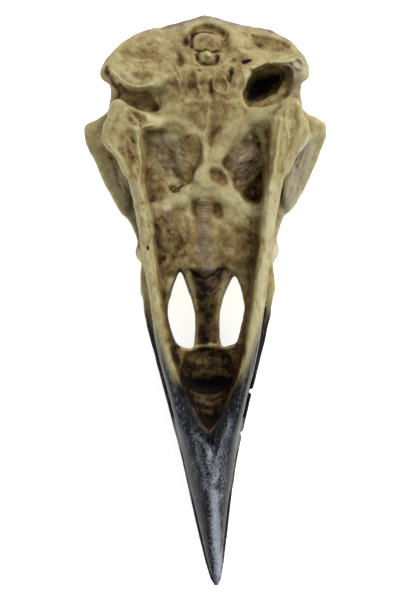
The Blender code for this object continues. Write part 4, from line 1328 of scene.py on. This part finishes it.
def paint_heels(wash_and_shade, mauve, wiped_and_lit):
    """Brown in the left heel's dip, the right one's wiped, mauve down the brow beside them, and painted
    light on the right strip.
    """
    right_strip = ((15.4, 24.6), (17.8, 25.2), (16.6, 20.6), (14.4, 15.2), (12.2, 9.8), (10.8, 4.6),
                   (10.2, 6.2), (11.4, 12.0), (12.6, 18.0))
    wash_and_shade.patches(
        (((-12.5, 29.5), (-10.5, 29.8), (-9.2, 28.6), (-9.4, 27.5), (-11.1, 26.8),
          (-12.5, 27.6)), 0.2, 0.7),
        (((11.8, 29.3), (12.9, 29.7), (13.5, 28.6), (12.6, 27.7), (11.7, 28.2)), 0.06, 0.8),
        (HEEL_DIP_LEFT, 0.1, 0.8),
        (((-17.4, 24.6), (-15.6, 23.3), (-13.6, 20.6), (-12.2, 17.2), (-11.2, 12.4), (-10.4, 6.0),
          (-11.6, 8.2), (-13.4, 14.5), (-15.4, 19.4)), -0.12, 0.9),
        (((-18.6, 29.6), (-16.0, 31.4), (-15.4, 28.6), (-17.0, 25.6), (-18.8, 26.4)), 0.1, 1.0),
    )
    wiped_and_lit.patches(
        (HEEL_DIP_RIGHT, 0.28, 0.8),
        # the strip of brow beside the right jaw branch, painted lighter: painted light from the right
        (right_strip, 0.4, 0.9),
        (((12.6, 18.2), (15.2, 17.8), (14.9, 15.9), (12.6, 15.0)), 0.2, 0.8),
        (((17.4, 28.4), (19.2, 27.6), (18.6, 24.2), (16.6, 20.4), (15.6, 22.6)), 0.05, 1.2),
    )
    mauve.patch(right_strip, 0.7, 0.9)
    mauve.patch(((-16.6, 23.6), (-14.6, 21.8), (-12.6, 17.2), (-11.2, 11.4), (-13.4, 14.5)), 0.6, 0.8)


def paint_pits(wash_and_shade, mauve, wiped_and_lit):
    """The pits brown and mauve, deepest in their corners, and the crossed ridges wiped clean."""
    wash_and_shade.patches(
        (LEFT_PIT, 0.04, 0.5),
        (((-10.2, 21.0), (-8.2, 20.8), (-6.0, 18.0), (-7.2, 16.2), (-8.8, 14.8),
          (-9.8, 15.6)), 0.2, 0.9),
        (((-6.1, 17.7), (-5.2, 17.9), (-4.0, 17.4), (-4.4, 16.7), (-5.6, 16.8)), 0.3, 0.4),
        (RIGHT_PIT, 0.2, 0.5),
        (RIGHT_PIT_DEEP, 0.24, 0.8),
        (((9.3, 26.5), (11.0, 26.7), (10.8, 22.2), (10.4, 19.4), (9.5, 18.2), (9.1, 21.7)), 0.24, 0.7),
        (SMALL_HOLLOW, 0.16, 0.5),
    )
    wash_and_shade.line(((-3.2, 25.7), (-1.6, 26.0), (-0.9, 24.8), (-1.2, 22.1), (-2.0, 20.0),
               (-3.2, 18.2)), 0.7, 0.2)
    mauve.patch(((-8.6, 25.4), (-4.0, 25.4), (-2.6, 21.6), (-5.0, 18.8), (-8.0, 20.4)), 0.5, 1.6)
    mauve.patch(((4.4, 23.9), (7.2, 25.6), (8.4, 23.0), (7.2, 19.0), (4.8, 18.4), (3.2, 21.4)), 0.7, 1.2)
    wiped_and_lit.patch(((-10.2, 26.6), (-5.1, 26.5), (-3.0, 25.6), (-5.6, 24.4), (-8.8, 24.8)), 0.44, 1.2)
    wiped_and_lit.patch(((4.9, 24.4), (7.0, 25.6), (7.9, 24.6), (7.3, 22.4), (5.1, 21.2),
                 (3.1, 21.2)), 0.26, 1.0)
    wiped_and_lit.dab(7.2, 25.7, 1.0, 0.5)
    wash_and_shade.dab(-0.2, 18.2, 3.0, 0.16)
    wiped_and_lit.lines(
        (((9.8, 28.0), (7.4, 28.2), (5.2, 27.2), (3.6, 25.4), (2.2, 23.2), (0.9, 21.2), (-0.2, 19.4),
          (-0.4, 18.4)), 4.0, 0.12),
        (((-8.6, 28.9), (-7.2, 28.4), (-5.1, 28.4), (-3.0, 27.5), (-1.0, 26.2), (-0.1, 24.4),
          (-0.3, 22.4)), 1.9, 0.22),
        (((-0.9, 17.2), (-2.4, 16.6), (-4.4, 15.7), (-6.4, 15.0)), 2.6, 0.18),
        (((0.4, 17.2), (1.8, 16.8), (3.8, 15.8), (5.6, 14.6), (8.2, 13.7)), 3.0, 0.18),
    )


def paint_palate(wash_and_shade, mauve, wiped_and_lit):
    """Brown over both halves of the palate and down the walls, mauve on the vomer between."""
    wash_and_shade.patches(
        (PALATE_LEFT, 0.2, 1.2),
        (((1.2, 12.2), (3.7, 11.9), (8.4, 10.2), (8.4, 3.4), (4.4, 3.4), (1.6, 5.0)), 0.2, 1.6),
        (((-5.4, 11.6), (-3.6, 10.9), (-3.0, 6.6), (-5.4, 6.4)), 0.12, 1.0),
        (((1.3, 15.6), (2.4, 14.9), (2.7, 13.4), (2.2, 12.0), (1.4, 12.8), (1.0, 14.1)), 0.16, 0.6),
        (((-1.9, 15.6), (0.1, 16.2), (1.5, 15.4), (1.1, 11.0), (1.3, 4.6), (-1.9, 4.6),
          (-1.7, 11.0)), 0.18, 1.2),
    )
    wash_and_shade.lines(
        (((-1.8, 15.4), (-2.0, 14.4), (-1.8, 12.8)), 1.5, 0.12),
        (((8.0, 12.4), (8.3, 9.6), (8.0, 6.0), (7.2, 3.2)), 1.6, 0.08),
        (((-8.2, 11.4), (-8.0, 7.6), (-7.2, 3.6)), 1.2, 0.1),
    )
    mauve.patch(((-1.9, 15.6), (0.1, 16.2), (1.6, 15.4), (1.1, 11.0), (1.3, 4.6), (-1.9, 4.6),
                 (-1.7, 11.0)), 0.65, 1.5)
    mauve.patch(((-7.8, 14.8), (-5.4, 15.2), (-4.8, 12.6), (-7.0, 12.0)), 0.5, 0.9)
    wiped_and_lit.patch(((-7.3, 14.9), (-5.8, 15.1), (-5.0, 14.4), (-6.6, 13.7)), 0.3, 0.6)
    inner_wall = ((8.6, 11.5), (7.7, 8.0), (7.2, 4.5), (6.9, 1.0), (6.4, -2.5), (5.8, -6.0),
                  (5.1, -9.6), (4.1, -13.0), (2.6, -16.4))
    for side, whole, front in ((-1, 0.22, 0.26), (1, 0.12, 0.16)):
        wash_and_shade.line(mirrored(inner_wall, side), 2.6, whole)
        wash_and_shade.line(mirrored(inner_wall[3:], side), 2.0, front)


def paint_folds(wash_and_shade, mauve, wiped_and_lit):
    """Brown on the nostril bar, and the shelf and folds in front of it nearly black."""
    mauve.patch(((-2.9, 4.9), (3.0, 5.0), (1.7, 0.4), (-1.7, 0.4)), 0.6, 0.9)
    wash_and_shade.patches(
        (((-2.9, 4.8), (-0.2, 4.2), (3.0, 4.8), (1.8, 0.4), (1.6, -7.4), (-1.9, -7.4),
          (-1.9, 0.4)), 0.46, 0.7),
        (((-5.6, -7.4), (-0.3, -7.4), (5.6, -7.0), (5.4, -11.0), (3.6, -15.0), (1.4, -20.4),
          (0.1, -21.4), (-1.6, -19.8), (-3.8, -15.2), (-5.4, -10.6)), 0.44, 0.5),
        (((-4.0, -12.6), (-2.3, -14.6), (0.2, -15.2), (2.4, -14.6), (3.8, -12.4),
          (0.2, -12.4)), 0.7, 0.8),
        (((-3.0, -16.0), (0.2, -17.0), (3.0, -16.4), (1.6, -20.4), (0.0, -21.7),
          (-1.6, -20.0)), 0.3, 1.4),
    )
    wash_and_shade.line(((-0.2, 2.6), (-0.2, -2.0), (-0.3, -6.8)), 3.2, 0.26)
    wash_and_shade.dab(-0.4, -6.6, 1.1, 0.4)
    wiped_and_lit.lines(
        (((-5.0, -8.0), (-4.4, -11.2), (-3.0, -15.0)), 1.6, 0.3),
        (((5.2, -7.8), (4.6, -10.8), (3.2, -15.0)), 1.6, 0.2),
        (((-4.3, -7.6), (-2.2, -7.8), (-0.3, -7.2), (2.0, -7.7), (4.2, -7.2)), 0.9, 0.45),
    )
    for fold in FOLDS[:2]:
        wiped_and_lit.line(fold_line(*fold), 0.9, 0.1)


def wipe_and_light_jaw_ridges(wiped_and_lit):
    """The long ridges of the jaw, wiped a little, and on the right almost clean: a painted highlight from
    the light on the right.
    """
    ridge = ((10.4, 17.0), (9.6, 12.0), (8.9, 7.0), (8.3, 2.0), (7.7, -3.0), (6.6, -8.0), (5.6, -11.5))
    for side, lighter_by in ((-1, 0.04), (1, 0.24)):
        wiped_and_lit.line(mirrored(ridge, side), 2.4, lighter_by)


def brush_silver_and_highlight(silver_and_highlight):
    """Silver grey dragged over the bill with a dry brush, from the fork to the tip, and painted highlight
    on the keel and tip.
    """
    silver_and_highlight.lines(
        # down the keel and at the tip: dry-brushed silver and a painted highlight
        (((0.3, -24.0), (0.4, -29.2), (0.5, -33.4), (0.7, -39.0), (0.7, -46.0)), 2.2, 0.5),
        (((0.5, -31.0), (0.7, -38.0), (0.8, -46.0)), 2.8, 0.42),
        (((-0.2, -24.0), (0.3, -33.0), (0.7, -46.0)), 6.0, 0.1),
        (((-1.8, -21.4), (-0.6, -23.3), (0.2, -25.2)), 1.2, 0.45),
        (((-2.6, -20.4), (-1.9, -22.9), (-1.3, -26.0), (-0.7, -30.0)), 1.4, 0.35),
        (((3.2, -19.4), (2.3, -22.3), (1.4, -26.5), (0.9, -29.0)), 1.4, 0.5),
        (((3.4, -20.0), (2.9, -22.9), (2.2, -27.1), (1.6, -32.0)), 1.2, 0.3),
        (((-6.6, -9.0), (-5.4, -14.5), (-4.6, -17.6), (-3.6, -22.0), (-2.4, -28.0)), 1.8, 0.22),
        (((5.9, -10.0), (5.1, -15.7), (4.2, -18.8), (3.4, -21.6)), 1.2, 0.22),
    )


def throat_paint(cast):
    """The painted layers from the throat: wash and painted shade, mauve, wiped and lit patches, silver and
    highlight.
    """
    wash_and_shade, mauve, wiped_and_lit, silver_and_highlight = (Drawing(cast, waver=0.35, seed=seed) for seed in (81, 83, 85, 87))
    paint_shield(wash_and_shade, mauve)
    paint_ears(wash_and_shade, mauve, wiped_and_lit)
    paint_heels(wash_and_shade, mauve, wiped_and_lit)
    paint_pits(wash_and_shade, mauve, wiped_and_lit)
    paint_palate(wash_and_shade, mauve, wiped_and_lit)
    paint_folds(wash_and_shade, mauve, wiped_and_lit)
    wipe_and_light_jaw_ridges(wiped_and_lit)
    brush_silver_and_highlight(silver_and_highlight)
    wash_and_shade.amount += tooling(cast, amount=0.22, most=0.34).amount
    return {"wash_and_shade": wash_and_shade, "mauve": mauve, "wiped_and_lit": wiped_and_lit, "silver_and_highlight": silver_and_highlight}


def piece(name, field, cast, painter, nodes, paint, slot):
    """One part of the cast as a mesh, with the painter's masks at each point of it."""
    places, quads = skin(field, CLAY_LOW)
    places, quads = largest_body(places, quads)
    places = relaxed(places, quads)
    name = f"cast_{name}"
    mesh = bpy.data.meshes.new(name)
    mesh.vertices.add(len(places))
    mesh.vertices.foreach_set("co", laid_down(places).astype(np.float32).ravel())
    mesh.loops.add(quads.size)
    mesh.loops.foreach_set("vertex_index", quads.ravel().astype(np.int32))
    mesh.polygons.add(len(quads))
    mesh.polygons.foreach_set("loop_start", np.arange(0, quads.size, 4, dtype=np.int32))
    mesh.update(calc_edges=True)
    mesh.shade_smooth()
    for word, values in painted_marks(cast, *painter, places).items():
        mark = mesh.attributes.new(word, "FLOAT", "POINT")
        mark.data.foreach_set("value", values.astype(np.float32))
    mesh.materials.append(paint)
    made = bpy.data.objects.new(name, mesh)
    bpy.context.scene.collection.objects.link(made)
    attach(made, "root")
    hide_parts(*nodes)


def black_of_bill(x, y, seen):
    """Where the bill is sprayed black, with soft edges: beyond the jaw's crests, and on the crown side."""
    soft_behind, soft_beside, fork_y, crown_y = (-1.6, 4.6), (-0.1, 0.35), (-21.6, -20.6), (-6.5, -0.5)
    beyond_crest = np.abs(x) - read_off(CREST_HALF_WIDTH, y) - read_off(BARE_BAND, y)
    in_front = read_off(BLACK_FROM_Y, np.abs(x)) - y
    from_throat = smooth_step(*soft_behind, in_front) * smooth_step(*soft_beside, beyond_crest)
    from_throat = np.maximum(from_throat, 1 - smooth_step(*fork_y, y))
    from_crown = 1 - smooth_step(*crown_y, y)
    return seen * from_throat + (1 - seen) * from_crown


def painted_marks(cast, paint, hollows, places):
    """What the painter has put at each place, as a mask for each finish.

    The wash runs into hollows and crevices by itself, and is rubbed off the ridges; the darkening
    in hollows and crevices is also painted shade.
    """
    off = np.array([0, 0, 0.3])
    turned_away, in_full_view = -0.45, 0.1
    facing = (sampled(cast.field, places + off) - sampled(cast.field, places - off)) / (2 * off[2])
    seen = smooth_step(turned_away, in_full_view, facing)
    marks = {word: drawing.at(places) * seen for word, drawing in paint.items()}
    marks["black"] = black_of_bill(places[:, 0], places[:, 1], seen)
    wide, near = (sampled(hollows[word], places) - 0.5 for word in ("hollow", "crevice"))
    # hollows and crevices darken, partly as wash pooled there and partly as painted shade; ridges lighten
    in_hollows, in_crevices, off_ridges = 0.4, 1.05, 0.4
    ridges = np.clip(-near, 0, 0.3)
    marks["wash_and_shade"] += np.clip(wide, -0.2, 0.5) * in_hollows + np.clip(near, 0, 0.3) * in_crevices
    marks["wash_and_shade"] -= ridges * off_ridges + marks.pop("wiped_and_lit")
    return marks


# ---------------------------------------------------------------- the paint itself


def linear(hex_colour):
    """An sRGB colour such as "a59a6e" as linear red, green, blue and alpha."""
    parts = [int(hex_colour[k : k + 2], 16) / 255 for k in (0, 2, 4)]
    return (*((c / 12.92 if c <= 0.04045 else ((c + 0.055) / 1.055) ** 2.4) for c in parts), 1)


def node(tree, kind, settings=None, links=None):
    """Adds a node, with its settings by name and its inputs by socket: a value or another socket."""
    made = tree.nodes.new(kind)
    for name, value in (settings or {}).items():
        setattr(made, name, value)
    for socket, value in (links or {}).items():
        if isinstance(value, bpy.types.NodeSocket):
            tree.links.new(value, made.inputs[socket])
        else:
            made.inputs[socket].default_value = value
    return made


def ramp(tree, value, colours):
    """The value looked up along a row of (position, colour) stops."""
    made = node(tree, "ShaderNodeValToRGB", {}, {"Fac": value})
    stops = made.color_ramp.elements
    while len(stops) < len(colours):
        stops.new(0.5)
    for stop, (position, colour) in zip(stops, colours):
        stop.position, stop.color = position, linear(colour)
    return made.outputs["Color"]


def lumps_per_metre(size):
    """The scale of a pattern whose lumps are this many millimetres across."""
    return 1 / (size * MM)


def uneven_wash(tree, place):
    """How unevenly the wash lies: the patterns, what each adds to its tone, and all of it together."""
    dragged = node(tree, "ShaderNodeMapping", {}, {
        "Vector": place, "Scale": BRUSH_MARK_STRETCH}).outputs["Vector"]
    patterns, shares, together = {}, {}, 0
    for word, where, size, detail, roughness, distortion, spread, least, most in (
        ("pools", place, POOL_SIZE, 5, 0.62, 0.8, 0.2, -0.08, 0.09),
        ("brush_marks", dragged, BRUSH_MARK_WIDTH, 3, 0.6, 0, 0.2, -0.07, 0.07),
        ("mottle", place, MOTTLE_SIZE, 5, 0.62, 0.3, 0.14, -0.09, 0.09),
        ("speckle", place, SPECKLE_SIZE, 2, 0.7, 0, 0.2, -0.06, 0.06),
    ):
        patterns[word] = node(tree, "ShaderNodeTexNoise", {}, {
            "Vector": where, "Scale": lumps_per_metre(size), "Detail": detail,
            "Roughness": roughness, "Distortion": distortion}).outputs["Fac"]
        shares[word] = node(tree, "ShaderNodeMapRange", {}, {
            "Value": patterns[word], "From Min": 0.5 - spread, "From Max": 0.5 + spread,
            "To Min": least, "To Max": most}).outputs["Result"]
        together = node(tree, "ShaderNodeMath", {"operation": "ADD"}, {
            0: together, 1: shares[word]}).outputs["Value"]
    return patterns, shares, together


def bone_coat(tree, wash_and_shade, mauve, mottle, uneven):
    """The bone-yellow coat under its brown wash and painted shade, greyed by the mauve glaze and mauve
    painted shade: its colour and its tone.
    """
    bare_tone = 0.28
    broken = node(tree, "ShaderNodeMapRange", {}, {
        "Value": mottle, "From Min": 0.42, "From Max": 0.58, "To Min": 0.8, "To Max": 1.16,
    }).outputs["Result"]
    tone = node(tree, "ShaderNodeMath", {"operation": "MULTIPLY_ADD"}, {
        0: wash_and_shade, 1: broken, 2: uneven}).outputs["Value"]
    tone = node(tree, "ShaderNodeMath", {"operation": "ADD"}, {0: tone, 1: bare_tone}).outputs["Value"]
    browned, greyed = (ramp(tree, tone, colours) for colours in (WASH_AND_SHADE_COLOURS, MAUVE_COLOURS))
    colour = node(tree, "ShaderNodeMix", {"data_type": "RGBA"}, {0: mauve, 6: browned, 7: greyed})
    return colour.outputs[2], tone


def black_coat(tree, place, silver_and_highlight):
    """The satin black of the bill, with silver grey dragged over it by a nearly dry brush and painted
    highlight on its keel.
    """
    load_of_brush = 0.4
    bristles = node(tree, "ShaderNodeMapping", {}, {"Vector": place, "Scale": BRISTLE_STRETCH})
    combed = node(tree, "ShaderNodeTexNoise", {}, {
        "Vector": bristles.outputs["Vector"], "Scale": lumps_per_metre(BRISTLE_WIDTH), "Detail": 3,
        "Roughness": 0.75}).outputs["Fac"]
    pale_amount = node(tree, "ShaderNodeMath", {"operation": "MULTIPLY_ADD"}, {
        0: silver_and_highlight, 1: load_of_brush, 2: combed}).outputs["Value"]
    pale_share = node(tree, "ShaderNodeMapRange", {}, {
        "Value": pale_amount, "From Min": 0.57, "From Max": 0.98}).outputs["Result"]
    colour = node(tree, "ShaderNodeMix", {"data_type": "RGBA"}, {
        0: pale_share, 6: linear(BILL_BLACK), 7: linear(BILL_SILVER_AND_HIGHLIGHT)})
    return colour.outputs[2]


def painted_resin(name):
    """Polyurethane resin, cast and painted by hand: bone-yellow coat, brown wash, black bill.

    The eye sees a matt, chalky yellow bone that the brown wash and painted shade have darkened in every
    hollow and left pale on the ridges, with painted light on some lit faces, and a satin black bill with
    dry-brushed silver grey and painted highlight on its high parts.
    """
    material = bpy.data.materials.new(name)
    material.use_nodes = True
    tree = material.node_tree
    tree.nodes.clear()
    # the masks: wash with painted shade, mauve, black, and silver with painted highlight
    wash_and_shade, mauve, black, silver_and_highlight = (
        node(tree, "ShaderNodeAttribute", {"attribute_name": word}).outputs["Fac"]
        for word in ("wash_and_shade", "mauve", "black", "silver_and_highlight")
    )
    place = node(tree, "ShaderNodeTexCoord").outputs["Object"]
    patterns, shares, uneven = uneven_wash(tree, place)
    bone, tone = bone_coat(tree, wash_and_shade, mauve, patterns["mottle"], uneven)
    bill = black_coat(tree, place, silver_and_highlight)
    sprayed = node(tree, "ShaderNodeMath", {"operation": "ADD"}, {
        0: black, 1: shares["speckle"]}).outputs["Value"]
    sprayed = node(tree, "ShaderNodeMapRange", {}, {
        "Value": sprayed, "From Min": 0.04, "From Max": 0.95}).outputs["Result"]
    whole = node(tree, "ShaderNodeMix", {"data_type": "RGBA"}, {0: sprayed, 6: bone, 7: bill}).outputs[2]
    matt = node(tree, "ShaderNodeMapRange", {}, {
        "Value": tone, "From Min": 0.5, "To Min": 0.6, "To Max": 0.9}).outputs["Result"]
    sheen = node(tree, "ShaderNodeMix", {"data_type": "FLOAT"}, {
        0: sprayed, 2: matt, 3: BILL_ROUGHNESS}).outputs[0]
    pressed = node(tree, "ShaderNodeBump", {}, {
        "Strength": 0.6, "Distance": PRESSED_DEPTH * MM, "Height": patterns["mottle"]}).outputs["Normal"]
    grain = node(tree, "ShaderNodeBump", {}, {
        "Strength": 0.6, "Distance": BRUSHED_DEPTH * MM, "Height": patterns["brush_marks"],
        "Normal": pressed}).outputs["Normal"]
    surface = node(tree, "ShaderNodeBsdfPrincipled", {}, {
        "Base Color": whole, "Roughness": sheen, "IOR": 1.5, "Specular IOR Level": 0.2, "Normal": grain})
    node(tree, "ShaderNodeOutputMaterial", {}, {"Surface": surface.outputs["BSDF"]})
    return material


# ---------------------------------------------------------------- floor, light and camera


# The floor's width in metres, and how bright the white room round it is
FLOOR_WIDTH = 2.4
WORLD_STRENGTH = 0.6

# The key light hangs above the nape, to the skull's right; its place and width are in metres
KEY_PLACE = (0.24, 0.3, 0.55)
KEY_AIM = (0, 0, 0.01)
KEY_WIDTH = 0.2
KEY_WATTS = 3.4

# The camera looks square on to the throat but for these angles in degrees; distances in millimetres
CAMERA_DISTANCE = 600.0
CAMERA_YAW, CAMERA_PITCH, CAMERA_ROLL = 0.3, 2.4, -0.6
CAMERA_AIM = (-1.172, -0.206)
SENSOR = 36

# The photograph's height in pixels and its scale, brought 1 % closer so that the outlines fall together
PICTURE_HEIGHT = 600
MM_PER_PIXEL = 0.16 / 1.01


def lit_card(name):
    """Matt white acrylic lit from behind, which the eye reads as plain white with hardly a shadow."""
    material = bpy.data.materials.new(name)
    material.use_nodes = True
    surface = material.node_tree.nodes["Principled BSDF"]
    for socket, value in (
        ("Base Color", linear("f0f0f0")), ("Roughness", 0.9),
        ("Emission Color", linear("ffffff")), ("Emission Strength", 0.7),
    ):
        surface.inputs[socket].default_value = value
    return material


def lay_floor():
    half = FLOOR_WIDTH / 2
    mesh = bpy.data.meshes.new("floor")
    corners = [(-half, -half, 0), (half, -half, 0), (half, half, 0), (-half, half, 0)]
    mesh.from_pydata(corners, [], [(0, 1, 2, 3)])
    mesh.materials.append(lit_card("white_card"))
    floor = bpy.data.objects.new("floor", mesh)
    bpy.context.scene.collection.objects.link(floor)


def light_studio():
    world = bpy.data.worlds.new("studio")
    world.use_nodes = True
    world.node_tree.nodes["Background"].inputs["Color"].default_value = linear("ffffff")
    world.node_tree.nodes["Background"].inputs["Strength"].default_value = WORLD_STRENGTH
    bpy.context.scene.world = world
    lamp = bpy.data.lights.new("key", "AREA")
    lamp.size, lamp.energy = KEY_WIDTH, KEY_WATTS
    key = bpy.data.objects.new("key", lamp)
    key.location = KEY_PLACE
    key.rotation_euler = (Vector(KEY_AIM) - Vector(KEY_PLACE)).to_track_quat("-Z", "Y").to_euler()
    bpy.context.scene.collection.objects.link(key)


def place_camera():
    bpy.context.scene.view_settings.view_transform = "Standard"
    yaw, pitch, roll = (math.radians(a) for a in (CAMERA_YAW, CAMERA_PITCH, CAMERA_ROLL))
    back = Vector((math.sin(yaw) * math.cos(pitch), -math.sin(pitch), math.cos(yaw) * math.cos(pitch)))
    right = Vector((math.cos(yaw), 0, -math.sin(yaw)))
    up = back.cross(right)
    turned_right = math.cos(roll) * right + math.sin(roll) * up
    turned_up = back.cross(turned_right)
    stand = back * CAMERA_DISTANCE + turned_right * CAMERA_AIM[0] + turned_up * CAMERA_AIM[1]
    looking = Matrix((turned_right, turned_up, back)).transposed().to_4x4()
    looking.translation = stand
    placed = resting_matrix() @ looking
    placed.translation *= MM
    lens = bpy.data.cameras.new("camera")
    lens.sensor_fit = "VERTICAL"
    lens.sensor_height = SENSOR
    lens.lens = SENSOR * CAMERA_DISTANCE / (PICTURE_HEIGHT * MM_PER_PIXEL)
    lens.clip_start = 0.01
    camera = bpy.data.objects.new("camera", lens)
    camera.matrix_world = placed
    bpy.context.scene.collection.objects.link(camera)
    bpy.context.scene.camera = camera


# ---------------------------------------------------------------- putting it all together


def model_surface(cast):
    """All that is worked into the resin once skull and jaw are one."""
    cast.soften(0.6)
    draw_shield(cast)
    model_heels(cast)
    for size, height, seed, where in LUMPS:
        cast.roughen(size, height, seed, where)
    for size, height, seed, where in CREASES:
        cast.crumple(size, height, seed, where)
    scratch_surface(cast)
    chip_bill(cast)


def measured_hollows(cast):
    """How much of what lies round each place is resin: close to it, and further off."""
    solid = np.clip(0.5 - cast.field / GRAIN, 0, 1)
    return {
        "crevice": box_blur(box_blur(solid, max(1, round(CREVICE_REACH / GRAIN))), 1),
        "hollow": box_blur(box_blur(solid, round(HOLLOW_REACH / GRAIN)), round(HOLLOW_BORDER / GRAIN)),
    }


def make_cast():
    cast = Cast(sculpt_skull(), sculpt_jaw())
    model_surface(cast)
    painter = (throat_paint(cast), measured_hollows(cast))
    bone = (painted_resin("painted_bone_resin"), "cast_bone")
    bill = (painted_resin("painted_bill_resin"), "black_bill")
    for name, y_front, y_back, finish, nodes in (
        ("braincase", BRAINCASE_CUT_Y, None, bone,
         ("braincase", "pterygoid_left", "pterygoid_right", "quadrate_left", "quadrate_right")),
        ("eye_sockets", BILL_HINGE_Y, BRAINCASE_CUT_Y, bone,
         ("eye_sockets", "palate", "jugal_bar_left", "jugal_bar_right")),
        ("bill_root", BILL_FRONT_Y, BILL_HINGE_Y, bone, ("bill_root",)),
        ("upper_bill", None, BILL_FRONT_Y, bill, ("upper_bill",)),
    ):
        piece(name, cast.part(False, y_front, y_back), cast, painter, nodes, *finish)
    for side, word in SIDES:
        for name, y_front, y_back in (
            (f"jaw_joint_{word}", JAW_JOINT_CUT_Y, None),
            (f"jaw_branch_{word}", LOWER_BILL_CUT_Y, JAW_JOINT_CUT_Y),
        ):
            piece(name, cast.part(True, y_front, y_back, side), cast, painter, (name,), *bone)
    piece("lower_bill", cast.part(True, None, LOWER_BILL_CUT_Y), cast, painter, ("lower_bill",), *bill)


make_cast()
lay_floor()
light_studio()
place_camera()
